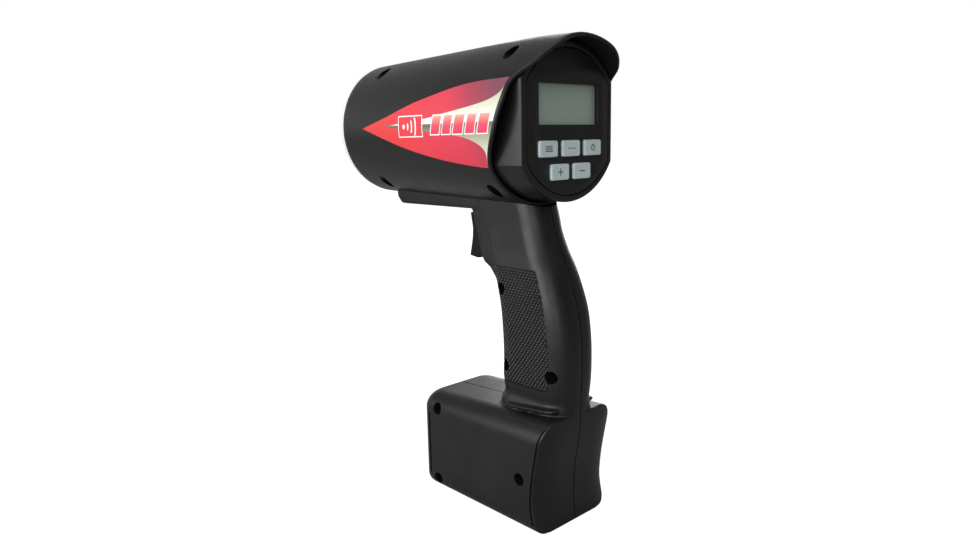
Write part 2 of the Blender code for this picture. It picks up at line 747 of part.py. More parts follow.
def make_handle():
    """Spine, nose, grip, collar, base and heel as one skin, hollowed and split into two shells."""
    barrel_room = barrel_solid("barrel_room", GAP)
    spine_outline = (
        (SPINE_FRONT_Y, -0.0400),
        (SPINE_FRONT_Y, -0.0480),
        (SPINE_FRONT_Y - 0.0045, SPINE_BOTTOM_Z),
        (SPINE_REAR_Y, SPINE_BOTTOM_Z),
        (SPINE_REAR_Y, -0.0400),
    )
    spine = helper(prism("spine", spine_outline, -SPINE_HALF_WIDTH, SPINE_HALF_WIDTH))
    round_edges(spine, 0.0016, 1)
    channel = helper(box("spine_channel", (-0.0125, 0.0800, -0.0520), (0.0125, 0.1500, -0.0300)))
    nose = helper(prism("nose", NOSE_OUTLINE, -NOSE_HALF_WIDTH, NOSE_HALF_WIDTH))
    round_edges(nose, 0.0012, 1)
    collar = helper(loft("collar", [plan_ring(z, *COLLAR_PLAN) for z in COLLAR_HEIGHTS]))
    round_edges(collar, 0.0010, 1)
    base = helper(base_loft("base_outside", 0))
    heel = helper(heel_loft())
    inside = helper(grip_loft("grip_inside", HANDLE_WALL))
    boolean(inside, helper(base_loft("base_inside", HANDLE_WALL)), "UNION")
    core = helper(grip_loft("grip_core", 0.0006))
    boolean(core, helper(base_loft("base_core", 0.0006)), "UNION")
    screws = GRIP_SCREWS + BASE_SCREWS
    pillars = bosses("handle_bosses", screws, 0.04, core)
    holes = screw_holes("handle_screw", screws, 0.05)
    low, high = (-POCKET_HALF_WIDTH, 0.0520, POCKET_FLOOR), (POCKET_HALF_WIDTH, 0.0900, POCKET_TOP)
    pocket = helper(box("trigger_pocket", low, high))
    pin_y, pin_z = TRIGGER_PIN
    pin_run = ((-0.0092, pin_y, pin_z), (0.0092, pin_y, pin_z))
    pin_hole = helper(rods("pin_hole", [pin_run], TRIGGER_PIN_RADIUS + 0.0001, 16))
    for side in ("left", "right"):
        shell = grip_loft(f"handle_{side}_shell", 0)
        for addition in (base, heel, spine, nose, collar):
            boolean(shell, addition, "UNION")
        cut(shell, inside, channel)
        boolean(shell, pillars, "UNION")
        cut(shell, barrel_room, *holes, pocket, pin_hole, wire_way(), side_box(side))
        finish(shell, BLACK)


# ---------------------------------------------------------------- trigger group


def set_origin(obj, place):
    """Moves an object's origin to a place in the design frame without moving its shape."""
    obj.data.transform(Matrix.Translation(-Vector(place)))
    obj.location = place


def make_trigger():
    pin_y, pin_z = TRIGGER_PIN
    trigger = prism("trigger", TRIGGER_OUTLINE, -TRIGGER_HALF_WIDTH, TRIGGER_HALF_WIDTH)
    round_edges(trigger, 0.0008, 1, 50)
    bore_run = ((-0.01, pin_y, pin_z), (0.01, pin_y, pin_z))
    bore = helper(rods("trigger_bore", [bore_run], TRIGGER_PIN_RADIUS + 0.0001, 16))
    slot = helper(box("spring_slot", (-0.0035, 0.0600, -0.0660), (0.0035, 0.0745, -0.0540)))
    cut(trigger, bore, slot)
    for piece in (trigger, bore, slot):
        set_origin(piece, (0, pin_y, pin_z))
    finish(trigger, BLACK)
    pin_run = ((-0.0090, pin_y, pin_z), (0.0090, pin_y, pin_z))
    finish(rods("trigger_pin", [pin_run], TRIGGER_PIN_RADIUS, 16), STEEL)


def make_trigger_spring():
    """A torsion spring round the pin, between the sides of its slot, with a leg back to the handle."""
    pin_y, pin_z = TRIGGER_PIN
    per_turn = 10
    steps = SPRING_TURNS * per_turn
    points = []
    for step in range(steps + 1):
        angle = 2 * pi * step / per_turn + pi / 2
        x = -0.0021 + 0.0042 * step / steps
        y, z = pin_y + SPRING_COIL_RADIUS * cos(angle), pin_z + SPRING_COIL_RADIUS * sin(angle)
        points.append((x, y, z))
    end_x, end_y, end_z = points[-1]
    points.append((end_x, end_y - 0.008, end_z - 0.0002))
    finish(wire("trigger_spring", points, 0.0004), STEEL)


def make_switch():
    """The switch that the trigger works, and its plunger, which slides in a bore."""
    switch = box("trigger_switch", (-0.0032, 0.0525, -0.0880), (0.0032, 0.0625, -0.0690))
    low, high = (-0.0017, 0.0602, PLUNGER_Z - 0.0018), (0.0017, 0.0640, PLUNGER_Z + 0.0018)
    finish(cut(switch, helper(box("plunger_bore", low, high))), BLACK)
    back = 0.0602 + PLUNGER_TRAVEL + GAP
    low, high = (-0.0014, back, PLUNGER_Z - 0.0015), (0.0014, PLUNGER_TIP_Y, PLUNGER_Z + 0.0015)
    plunger = box("switch_plunger", low, high)
    set_origin(plunger, (0, back, PLUNGER_Z))
    finish(plunger, KEY_GREY)


# ---------------------------------------------------------------- battery base


def make_battery():
    rows = [CELL_FIRST_Y + row * CELL_PITCH for row in range(CELL_ROWS)]
    places = [(x, y) for y in rows for x in (-CELL_PITCH / 2, CELL_PITCH / 2)]
    top = CELL_BOTTOM_Z + CELL_HEIGHT
    for number, (x, y) in enumerate(places, 1):
        cell = rods(f"battery_cell_{number}", [((x, y, CELL_BOTTOM_Z), (x, y, top))], CELL_RADIUS, 20)
        finish(cell, CELL_WRAP)
    room = CELL_RADIUS + 0.0006
    wall = 0.0015
    low_y, high_y = rows[0] - room, rows[-1] + room
    half = CELL_PITCH / 2 + room
    floor = CELL_BOTTOM_Z - GAP
    low, high = (-half - wall, low_y - wall, floor - wall), (half + wall, high_y + wall, -0.2360)
    tray = box("battery_tray", low, high)
    cut(tray, helper(box("tray_room", (-half, low_y, floor), (half, high_y, -0.20))))
    finish(tray, BLACK)
    finish(box("battery_board", (-half, low_y, top + GAP), (half, high_y, top + GAP + 0.0016)), BOARD)


def make_power_lead():
    """The lead from the battery up the grip to the boards in the barrel."""
    finish(wire("power_lead", smooth_line(LEAD_ROUTE, 2), LEAD_RADIUS), WIRE)


def make_screws():
    head_back = HEAD_X - GAP
    head_front = head_back - SCREW_HEAD_DEPTH
    profile = (
        (0, SCREW_END_X),
        (SCREW_RADIUS, SCREW_END_X),
        (SCREW_RADIUS, head_back),
        (SCREW_HEAD_RADIUS, head_back),
        (SCREW_HEAD_RADIUS, head_front),
        (0, head_front),
    )
    groups = (("barrel_screw", BARREL_SCREWS), ("grip_screw", GRIP_SCREWS), ("base_screw", BASE_SCREWS))
    for group, places in groups:
        for number, (y, z) in enumerate(places, 1):
            screw = turned(f"{group}_{number}", profile, 12)
            screw.rotation_euler = (0, radians(90), 0)
            screw.location = (0, y, z)
            finish(screw, BLACK_STEEL)


def main():
    make_barrel()
    make_housing()
    make_face_plate()
    make_keys()
    make_display()
    make_antenna()
    make_lens()
    make_boards()
    make_handle()
    make_trigger()
    make_trigger_spring()
    make_switch()
    make_battery()
    make_power_lead()
    make_screws()


main()
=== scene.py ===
"""Looks of a hand-held cordless speed measuring gun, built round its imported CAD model.

Shapes are given in a design frame: its origin is where the barrel's axis crosses the display's face, +X is the
user's right, +Y is along the beam and +Z is up. world() takes them to the row frame. Everything is in metres.
"""

import json
from math import atan2, cos, pi, radians, sin, sqrt

import bmesh
import bpy
from mathutils import Matrix, Vector

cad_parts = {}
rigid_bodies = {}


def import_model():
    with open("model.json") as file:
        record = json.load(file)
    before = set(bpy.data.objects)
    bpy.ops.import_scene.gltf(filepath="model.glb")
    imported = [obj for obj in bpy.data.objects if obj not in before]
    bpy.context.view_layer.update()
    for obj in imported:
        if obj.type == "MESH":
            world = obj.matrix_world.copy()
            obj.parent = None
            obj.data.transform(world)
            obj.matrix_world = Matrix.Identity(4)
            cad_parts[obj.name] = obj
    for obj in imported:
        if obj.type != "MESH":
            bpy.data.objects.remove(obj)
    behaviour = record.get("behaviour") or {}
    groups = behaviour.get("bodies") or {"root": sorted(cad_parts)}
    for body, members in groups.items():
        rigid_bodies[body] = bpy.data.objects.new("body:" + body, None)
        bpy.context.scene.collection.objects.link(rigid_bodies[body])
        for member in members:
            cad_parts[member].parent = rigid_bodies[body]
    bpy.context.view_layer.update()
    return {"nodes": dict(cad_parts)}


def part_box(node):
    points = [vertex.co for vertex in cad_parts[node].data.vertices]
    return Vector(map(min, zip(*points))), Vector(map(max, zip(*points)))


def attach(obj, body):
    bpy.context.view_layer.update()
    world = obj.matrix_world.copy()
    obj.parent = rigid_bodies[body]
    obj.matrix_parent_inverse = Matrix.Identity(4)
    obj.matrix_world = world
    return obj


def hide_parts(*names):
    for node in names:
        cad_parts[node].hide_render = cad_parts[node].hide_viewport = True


for old in list(bpy.data.objects):
    bpy.data.objects.remove(old)
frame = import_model()

plate_low, plate_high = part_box("face_plate")
ORIGIN = Vector(((plate_low.x + plate_high.x) / 2, plate_low.y, (plate_low.z + plate_high.z) / 2))
FLOOR_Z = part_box("handle_left_shell")[0].z
SIDES = (("left", -1), ("right", 1))

# Barrel: (y, outer radius)
BARREL = ((-0.024, 0.05), (-0.003, 0.0508), (0.018, 0.0512), (0.06, 0.0502), (0.1757, 0.0468))
BARREL_FRONT, BARREL_WALL = 0.1757, 0.0024
# Radii of its edges, and (angle from the seam, how far the section draws in) where the halves meet
RIM_OUTER_ROUND, RIM_INNER_ROUND, FRONT_ROUND = 0.0013, 0.0006, 0.001
SEAM_EDGES = ((0.0, 0.00035), (0.004, 0.0001), (0.01, 0.0))
# Side view of the hood's rim: (z, y)
RIM = (
    (-0.056, 0.0205), (-0.034, 0.0228), (-0.023, 0.0215), (-0.005, 0.013), (0.0125, 0.007),
    (0.0245, 0.0034), (0.0335, -0.008), (0.044, -0.0146), (0.054, -0.0118),
)
# Screws: (y, z), the x of their heads' undersides, and the radii of what surrounds them
BARREL_SCREWS = ((0.1482, 0.038), (0.1505, -0.038), (0.0175, 0.0402), (0.0335, -0.0402))
GRIP_SCREWS = ((0.0435, -0.1045), (0.04, -0.1553), (0.0000, -0.1551))
BASE_SCREWS = ((0.0942, -0.1956), (0.0948, -0.2483), (0.0134, -0.2217))
HEAD_FACE = -0.0085
RECESS_RADIUS, PILLAR_RADIUS, BORE_RADIUS = 0.0042, 0.0054, 0.0017
HOUSING_RADIUS, HOUSING_FLAT = 0.0476, 0.041
PLATE_RADIUS, PLATE_FLAT, PLATE_BACK = 0.0431, 0.0366, 0.0025
# The plate's window: x and z of its middle, then half its width and height
WINDOW = (0.0, 0.01055, 0.0266, 0.01185)
KEY_HALF_X, KEY_HALF_Z, KEY_TOP = 0.008, 0.0048, -0.0013
HANDLE_VOXEL = 0.00065
KNURL_GRID = 0.0003


# ------------------------------------------------------------------ materials


class Nodes:
    """A short way to build the node tree of a material or a world, whose last node is named by end."""

    def __init__(self, owner, end="Principled BSDF", place="Object"):
        owner.use_nodes = True
        self.owner, self.tree = owner, owner.node_tree
        self.end = self.tree.nodes[end]
        self.place = self.add("ShaderNodeTexCoord").outputs[place]

    def add(self, kind, **values):
        node = self.tree.nodes.new(kind)
        for key, value in values.items():
            if key in node.inputs.keys():
                self.feed(node.inputs[key], value)
            else:
                setattr(node, key, value)
        return node

    def feed(self, socket, value):
        """Links or sets an input. A colour is given without its alpha."""
        if isinstance(value, bpy.types.NodeSocket):
            self.tree.links.new(value, socket)
        else:
            socket.default_value = (*value, 1) if socket.type == "RGBA" else value

    def set(self, **values):
        """Feeds the last node and returns the material or world."""
        for key, value in values.items():
            self.feed(self.end.inputs[key.replace("_", " ")], value)
        return self.owner

    def noise(self, scale, detail=3.0, roughness=0.5, place=None):
        place = place or self.place
        node = self.add("ShaderNodeTexNoise", Vector=place, Scale=scale, Detail=detail, Roughness=roughness)
        return node.outputs["Fac"]

    def map(self, value, low, high, from_low=0.0, from_high=1.0):
        node = self.add("ShaderNodeMapRange")
        names = ("Value", "From Min", "From Max", "To Min", "To Max")
        for key, number in zip(names, (value, from_low, from_high, low, high)):
            self.feed(node.inputs[key], number)
        return node.outputs["Result"]

    def ramp(self, value, stops):
        node = self.add("ShaderNodeValToRGB", Fac=value)
        elements = node.color_ramp.elements
        while len(elements) < len(stops):
            elements.new(0.5)
        for element, (position, colour) in zip(elements, stops):
            element.position = position
            element.color = (*colour, 1)
        return node.outputs["Color"]

    def mix(self, factor, a, b):
        node = self.add("ShaderNodeMix", data_type="RGBA")
        for index, value in ((0, factor), (6, a), (7, b)):
            self.feed(node.inputs[index], value)
        return node.outputs[2]

    def maths(self, operation, a, b=0.0):
        node = self.add("ShaderNodeMath", operation=operation)
        self.feed(node.inputs[0], a)
        self.feed(node.inputs[1], b)
        return node.outputs[0]

    def scaled(self, colour, factor):
        node = self.add("ShaderNodeVectorMath", operation="SCALE", Scale=factor)
        self.feed(node.inputs[0], colour)
        return node.outputs[0]

    def axis(self, letter):
        return self.add("ShaderNodeSeparateXYZ", Vector=self.place).outputs[letter]

    def upward(self, low, high, stops):
        """A ramp between two heights above the barrel's axis."""
        return self.ramp(self.map(self.axis("Z"), 0.0, 1.0, ORIGIN.z + low, ORIGIN.z + high), stops)

    def bump(self, height, distance, strength=1.0, normal=None):
        node = self.add("ShaderNodeBump", Strength=strength, Distance=distance, Height=height)
        if normal:
            self.feed(node.inputs["Normal"], normal)
        return node.outputs["Normal"]


def material(name):
    return Nodes(bpy.data.materials.new(name))


def toned(colour, factor, lift=0.0):
    return tuple(min(1.0, c * factor + lift) for c in colour)


def moulded_plastic(
    name, colour, roughness, grain=1.0, scuff=0.5, spread=0.15, gloss=0.32, knurled=False, seamed=False
):
    """Injection moulded plastic: a fine spark grain, faint cloudiness and slightly polished high spots.

    Knurling has painted shade in its hollows and painted highlights on its crests, set by how much they reflect, and
    a seamed shell has a painted shade line along where its halves meet, where its reflection is taken out.
    """
    m = material(name)
    grains, clouds, fine = m.noise(3600, 2.0), m.noise(38, 4.0), m.noise(420)
    dark, light = toned(colour, 1 - spread), toned(colour, 1 + spread, 0.012 * spread)
    tint = m.mix(m.map(clouds, 0.0, 1.0, 0.3, 0.7), dark, light)
    edge = m.add("ShaderNodeNewGeometry").outputs["Pointiness"]
    # Painted shade and highlight on knurling: reflection is taken out of the hollows and raised on the crests.
    shine_and_painted_shade = m.map(edge, 0.02, 0.7, 0.45, 0.57) if knurled else gloss
    if seamed:
        # Painted shade: reflection is taken out along a thin line where the shell's halves meet.
        shine_and_painted_shade = m.map(m.maths("ABSOLUTE", m.axis("X")), 0.0, gloss, 0.00028, 0.0005)
    return m.set(
        Base_Color=m.mix(m.map(edge, 0.0, scuff, 0.53, 0.62), tint, toned(colour, 1.9, 0.004)),
        Roughness=m.map(m.maths("ADD", clouds, fine), roughness - 0.05, roughness + 0.06, 0.7, 1.3),
        Normal=m.bump(grains, 0.00004 * grain, 0.9, m.bump(fine, 0.00003 * grain, 0.5)),
        Specular_IOR_Level=shine_and_painted_shade,
    )


def metal(name, colour, roughness, brushed=False):
    """Bare or plated metal with fine lines or grain and small dull patches."""
    m = material(name)
    place = m.place
    if brushed:
        place = m.add("ShaderNodeMapping", Vector=place, Scale=(1.0, 1.0, 0.03)).outputs["Vector"]
    lines, patches = m.noise(2600, 3.0, 0.6, place), m.noise(120)
    return m.set(
        Metallic=1.0,
        Base_Color=m.mix(m.map(patches, 0.0, 0.6, 0.45, 0.75), colour, toned(colour, 0.8)),
        Roughness=m.map(patches, roughness - 0.06, roughness + 0.1),
        Normal=m.bump(lines, 0.00002),
    )


def circuit_board(name):
    """Solder mask over tracks, with the tracks a little raised and lighter."""
    m = material(name)
    cells = m.add("ShaderNodeTexVoronoi", Vector=m.place, Scale=260.0, feature="DISTANCE_TO_EDGE")
    track = m.map(cells.outputs["Distance"], 1.0, 0.0, 0.02, 0.05)
    colour = m.mix(track, (0.008, 0.075, 0.03), (0.03, 0.19, 0.075))
    return m.set(Base_Color=colour, Roughness=0.38, Normal=m.bump(track, 0.00004))


def shrink_film(name):
    """The battery cells' sleeve, with a soft ripple."""
    m = material(name)
    ripple = m.noise(160, 2.0)
    colour = m.mix(m.map(ripple, 0.0, 1.0), (0.03, 0.07, 0.24), (0.05, 0.11, 0.33))
    return m.set(Base_Color=colour, Roughness=0.3, Normal=m.bump(ripple, 0.0002, 0.5))


def rubber(name, colour):
    """Dull rubber with a little dust on it."""
    m = material(name)
    dust = m.noise(700)
    tint = m.mix(m.map(dust, 0.0, 0.5, 0.5, 0.8), colour, (0.08, 0.08, 0.08))
    return m.set(Base_Color=tint, Roughness=0.78, Normal=m.bump(dust, 0.00006))


def display_face(name):
    """Reflective liquid crystal glass: grey-green, with painted shade that darkens it towards the top, and faint
    clouds.
    """
    m = material(name)
    # Painted shade: the glass's colour darkens towards the top.
    stops = ((0.0, (0.33, 0.4, 0.33)), (0.6, (0.285, 0.355, 0.3)), (1.0, (0.22, 0.28, 0.24)))
    colour = m.scaled(m.upward(-0.003, 0.024, stops), m.map(m.noise(60, 2.0), 0.94, 1.06))
    grid = m.bump(m.noise(2600, 1.0), 0.00001)
    return m.set(Base_Color=colour, Roughness=0.32, Coat_Weight=0.25, Coat_Roughness=0.12, Normal=grid)


def printed(m, colour):
    """Satin ink on a film with the faintest ripple."""
    ripple = m.bump(m.noise(900, 2.0), 0.00002)
    return m.set(Base_Color=colour, Specular_IOR_Level=0.25, Roughness=0.4, Normal=ripple)


def label_red(name, stops):
    """Printed film that runs from coral red at the tip to magenta at the rear, with a faint screen."""
    m = material(name)
    along = m.map(m.axis("Y"), 0.0, 1.0, ORIGIN.y + 0.15, ORIGIN.y + 0.004)
    up = m.map(m.axis("Z"), -0.1, 0.1, ORIGIN.z - 0.026, ORIGIN.z + 0.026)
    tone = m.ramp(m.maths("ADD", along, up), stops)
    return printed(m, m.scaled(tone, m.map(m.noise(1500, 1.0), 0.95, 1.05)))


def label_band(name, reach, stops):
    """Printed film whose tone changes upward, from reach under the barrel's axis to reach over it."""
    m = material(name)
    return printed(m, m.upward(-reach, reach, stops))


def plain_print(name, colour):
    m = material(name)
    speck = m.noise(1800, 2.0)
    tint = m.mix(speck, colour, toned(colour, 1.08))
    return m.set(Base_Color=tint, Roughness=0.4, Normal=m.bump(speck, 0.00001))


def floor_surface(name):
    """Pale paper, which the camera sees as white."""
    m = material(name)
    cloud = m.map(m.noise(3, 2.0), 0.0, 1.0)
    seen = m.add("ShaderNodeLightPath").outputs["Is Camera Ray"]
    return m.set(
        Base_Color=m.mix(cloud, (0.41, 0.41, 0.41), (0.43, 0.43, 0.43)),
        Roughness=0.75,
        Specular_IOR_Level=0.1,
        Emission_Color=(1, 1, 1),
        Emission_Strength=m.map(seen, 0.0, 0.88),
    )


BLACK = moulded_plastic("black_moulding", (0.0052, 0.006, 0.0052), 0.34, 0.7)
# The shells' plastic, with a painted shade line along their seam.
SEAM_SHADED_SHELL_BLACK = moulded_plastic("shell_moulding", (0.0052, 0.006, 0.0052), 0.34, 0.7, seamed=True)
PLATE_BLACK = moulded_plastic("plate_moulding", (0.0046, 0.0052, 0.0042), 0.42, 0.7)
# A darker copy of the shell's plastic, as painted shade for the knurled panel's deep grooves.
KNURL_SHADED_BLACK = moulded_plastic("knurled_moulding_painted_shade", (0.0042, 0.005, 0.0044), 0.4, 0.6, knurled=True)
TRIGGER_BLACK = moulded_plastic("trigger_moulding", (0.0032, 0.0052, 0.0044), 0.46, 0.6, gloss=0.12)
KEY_PLASTIC = moulded_plastic("key_moulding", (0.56, 0.66, 0.67), 0.42, 0.5, 0.1, 0.05)
LENS_PLASTIC = moulded_plastic("lens_moulding", (0.66, 0.68, 0.66), 0.3, 0.4, 0.0, 0.03)
DISPLAY = display_face("display_face")
RED = label_red(
    "label_red",
    (
        (0.0, (0.62, 0.046, 0.042)),
        (0.38, (0.68, 0.046, 0.062)),
        (0.7, (0.6, 0.046, 0.078)),
        (0.86, (0.34, 0.05, 0.08)),
        (1.0, (0.19, 0.062, 0.095)),
    ),
)
# The pale wedge is a printed horizon, bright above its middle line and dark just under it.
SILVER = label_band(
    "label_silver",
    0.024,
    (
        (0.0, (0.82, 0.82, 0.66)),
        (0.22, (0.56, 0.56, 0.42)),
        (0.5, (0.13, 0.13, 0.095)),
        (0.522, (0.16, 0.16, 0.12)),
        (0.528, (0.84, 0.84, 0.8)),
        (0.7, (0.64, 0.63, 0.5)),
        (1.0, (0.36, 0.35, 0.27)),
    ),
)
BAR = label_band(
    "label_bar",
    0.007,
    ((0.0, (0.66, 0.03, 0.09)), (0.5, (0.74, 0.07, 0.12)), (0.8, (0.8, 0.24, 0.2)), (1.0, (0.84, 0.5, 0.4))),
)
WHITE = plain_print("label_white", (0.8, 0.79, 0.74))
INK = plain_print("key_ink", (0.1, 0.12, 0.13))
STEEL = metal("drawn_steel", (0.56, 0.56, 0.57), 0.3, True)
BLACK_ZINC = metal("black_zinc", (0.05, 0.05, 0.055), 0.38)
ALUMINIUM = metal("machined_aluminium", (0.78, 0.79, 0.8), 0.32)
RUBBER = rubber("black_rubber", (0.022, 0.022, 0.022))
WIRE = rubber("red_wire", (0.24, 0.02, 0.02))
BOARD = circuit_board("circuit_board")
FILM = shrink_film("cell_film")


# ------------------------------------------------------------------ shapes


def world(point):
    """A place in the design frame, taken to the row frame."""
    return Vector(point) + ORIGIN


def linked(name, data):
    obj = bpy.data.objects.new(name, data)
    bpy.context.scene.collection.objects.link(obj)
    return obj


def object_of(name, bm):
    mesh = bpy.data.meshes.new(name)
    bm.to_mesh(mesh)
    bm.free()
    return linked(name, mesh)


def smooth(obj, angle):
    """Smooth shading, but for the edges whose faces turn by more than the angle in degrees."""
    obj.data.shade_smooth()
    obj.data.set_sharp_from_angle(angle=radians(angle))
    return obj


def mesh_of(name, bm, sharp=35):
    """An object from a bmesh in the design frame, placed in the row frame."""
    bmesh.ops.recalc_face_normals(bm, faces=bm.faces)
    bmesh.ops.translate(bm, vec=ORIGIN, verts=bm.verts)
    return smooth(object_of(name, bm), sharp)


def show(obj, look, body="body", replaces=()):
    """Gives a piece its material, its body and the CAD nodes it stands for."""
    obj.data.materials.clear()
    obj.data.materials.append(look)
    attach(obj, body)
    if replaces:
        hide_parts(*replaces)


def modified(obj, kind, **settings):
    """Applies one modifier with the given settings."""
    change = obj.modifiers.new("change", kind)
    for key, value in settings.items():
        setattr(change, key, value)
    graph = bpy.context.evaluated_depsgraph_get()
    mesh = bpy.data.meshes.new_from_object(obj.evaluated_get(graph))
    old = obj.data
    obj.modifiers.clear()
    obj.data = mesh
    bpy.data.meshes.remove(old)
    return obj


def boolean(obj, other, operation="DIFFERENCE"):
    """Applies a Boolean and removes the other object."""
    modified(obj, "BOOLEAN", operation=operation, solver="EXACT", object=other)
    bpy.data.objects.remove(other)
    return obj


def bevelled(obj, width, segments=2, angle=40):
    settings = {"width": width, "segments": segments, "miter_outer": "MITER_ARC"}
    return modified(obj, "BEVEL", limit_method="ANGLE", angle_limit=radians(angle), **settings)


def curve_through(points, per_span):
    """Points on a Catmull-Rom curve through the given ones."""
    ends = [points[0], *points, points[-1]]
    line = []
    for before, start, end, after in zip(ends, ends[1:], ends[2:], ends[3:]):
        for step in range(per_span):
            t = step / per_span
            line.append(
                tuple(
                    b + 0.5 * t * (c - a + t * (2 * a - 5 * b + 4 * c - d + t * (3 * b - a - 3 * c + d)))
                    for a, b, c, d in zip(before, start, end, after)
                )
            )
    line.append(tuple(points[-1]))
    return line


def reader(points, per_span=8):
    """A function that reads a smooth curve through pairs whose first column rises."""
    line = curve_through(points, per_span)

    def read(where):
        if where <= line[0][0]:
            return line[0][1]
        for (a, low), (b, high) in zip(line, line[1:]):
            if where <= b:
                return low + (high - low) * (where - a) / (b - a) if b > a else high
        return line[-1][1]

    return read


barrel_radius = reader(BARREL)
rim_y = reader(RIM)


def eased(t):
    """0 to 1 with a soft start and end, from a value that is first held between them."""
    t = min(max(t, 0.0), 1.0)
    return t * t * (3 - 2 * t)


def around(steps):
    return [2 * pi * i / steps for i in range(steps)]


def bridge(bm, loops, capped=True):
    """Faces between neighbouring loops of points: a capped solid, or a ring that closes on its first loop."""
    rings = [[bm.verts.new(point) for point in loop] for loop in loops]
    count = len(rings[0])
    for first, second in zip(rings, rings[1:] if capped else rings[1:] + rings[:1]):
        for i in range(count):
            j = (i + 1) % count
            bm.faces.new((first[i], first[j], second[j], second[i]))
    if capped:
        bm.faces.new(rings[0])
        bm.faces.new(rings[-1][::-1])


def loft(name, loops, capped=True, sharp=35):
    bm = bmesh.new()
    bridge(bm, loops, capped)
    return mesh_of(name, bm, sharp)


def prism(name, outline, half):
    """A side view of (y, z) points extruded along X to both sides."""
    return loft(name, [[(x, y, z) for y, z in outline] for x in (-half, half)])


def cylinder(bm, start, end, radius, sides=32):
    start, end = Vector(start), Vector(end)
    turn = (end - start).to_track_quat("Z", "Y").to_matrix().to_4x4()
    place = Matrix.Translation((start + end) / 2) @ turn
    depth = (end - start).length
    bmesh.ops.create_cone(
        bm, cap_ends=True, segments=sides, radius1=radius, radius2=radius, depth=depth, matrix=place
    )


def block(bm, low, high):
    low, high = Vector(low), Vector(high)
    place = Matrix.Translation((low + high) / 2) @ Matrix.Diagonal((*(high - low), 1))
    bmesh.ops.create_cube(bm, size=1, matrix=place)


def solids(name, shapes):
    """Blocks, each given by two corners, and cylinders, each by its ends, radius and number of sides."""
    bm = bmesh.new()
    for shape in shapes:
        (block if len(shape) == 2 else cylinder)(bm, *shape)
    return mesh_of(name, bm)


def carve(obj, shapes, operation="DIFFERENCE"):
    return boolean(obj, solids("helper", shapes), operation)


def rods(places, x_start, x_end, radius, sides=32):
    """Cylinders along X at (y, z) places, for solids()."""
    return [((x_start, y, z), (x_end, y, z), radius, sides) for y, z in places]


def screw_holes(places, outside, bore_end):
    """Recesses from outside the shell to the screws' heads, and bores from there."""
    holes = []
    for place in places:
        holes += rods([place], HEAD_FACE, outside, RECESS_RADIUS)
        holes += rods([place], bore_end, HEAD_FACE - 0.001, BORE_RADIUS, 16)
    return holes


def revolve(bm, profile, steps, place):
    """A solid of revolution from a closed profile, or one that ends on its axis. place() turns it into points."""
    loops = []
    for radius, along in profile:
        turns = around(steps) if radius > 0 else [0.0]
        loops.append([bm.verts.new(place(radius, along, t)) for t in turns])
    closed = all(len(loop) > 1 for loop in loops)
    for first, second in zip(loops, loops[1:] + loops[:1] if closed else loops[1:]):
        for i in range(steps):
            corners = [loop[k % len(loop)] for loop, k in ((first, i), (first, i + 1), (second, i + 1), (second, i))]
            bm.faces.new(list(dict.fromkeys(corners)))


def turned(name, profile, steps, sharp=35):
    """A solid of revolution about the barrel's axis from a profile of (radius, y)."""
    bm = bmesh.new()
    revolve(bm, profile, steps, lambda radius, y, t: (radius * sin(t), y, radius * cos(t)))
    return mesh_of(name, bm, sharp)


def closed_sheet(name, outer, inner, sharp=35, wrap=False):
    """A closed sheet between two grids of points. wrap joins its last column to its first."""
    bm = bmesh.new()
    outer, inner = ([[bm.verts.new(point) for point in line] for line in grid] for grid in (outer, inner))
    columns, rows = len(outer), len(outer[0]) - 1
    for i in range(columns if wrap else columns - 1):
        k = (i + 1) % columns
        for j in range(rows):
            bm.faces.new((outer[i][j], outer[i][j + 1], outer[k][j + 1], outer[k][j]))
            bm.faces.new((inner[i][j + 1], inner[i][j], inner[k][j], inner[k][j + 1]))
        for j in (0, rows):
            bm.faces.new((outer[i][j], outer[k][j], inner[k][j], inner[i][j]))
    for i in () if wrap else (0, columns - 1):
        for j in range(rows):
            bm.faces.new((outer[i][j], outer[i][j + 1], inner[i][j + 1], inner[i][j]))
    bmesh.ops.remove_doubles(bm, verts=bm.verts, dist=0.000001)
    return mesh_of(name, bm, sharp)


def rounded_corner(x, y, radius, start, steps):
    """Points of a quarter circle centred at (x, y) that begins at a bearing in degrees."""
    turns = [radians(start + 90 * i / steps) for i in range(steps + 1)]
    return [(x + radius * cos(t), y + radius * sin(t)) for t in turns]


def rounded_outline(x, z, half_x, half_z, radius, steps=5):
    """A rounded rectangle as (x, z)."""
    outline = []
    for sx, sz, start in ((1, 1, 0), (-1, 1, 90), (-1, -1, 180), (1, -1, 270)):
        middle = x + sx * (half_x - radius), z + sz * (half_z - radius)
        outline += rounded_corner(*middle, radius, start, steps)
    return outline


def at_y(outline, y):
    return [(x, y, z) for x, z in outline]


# ------------------------------------------------------------------ barrel


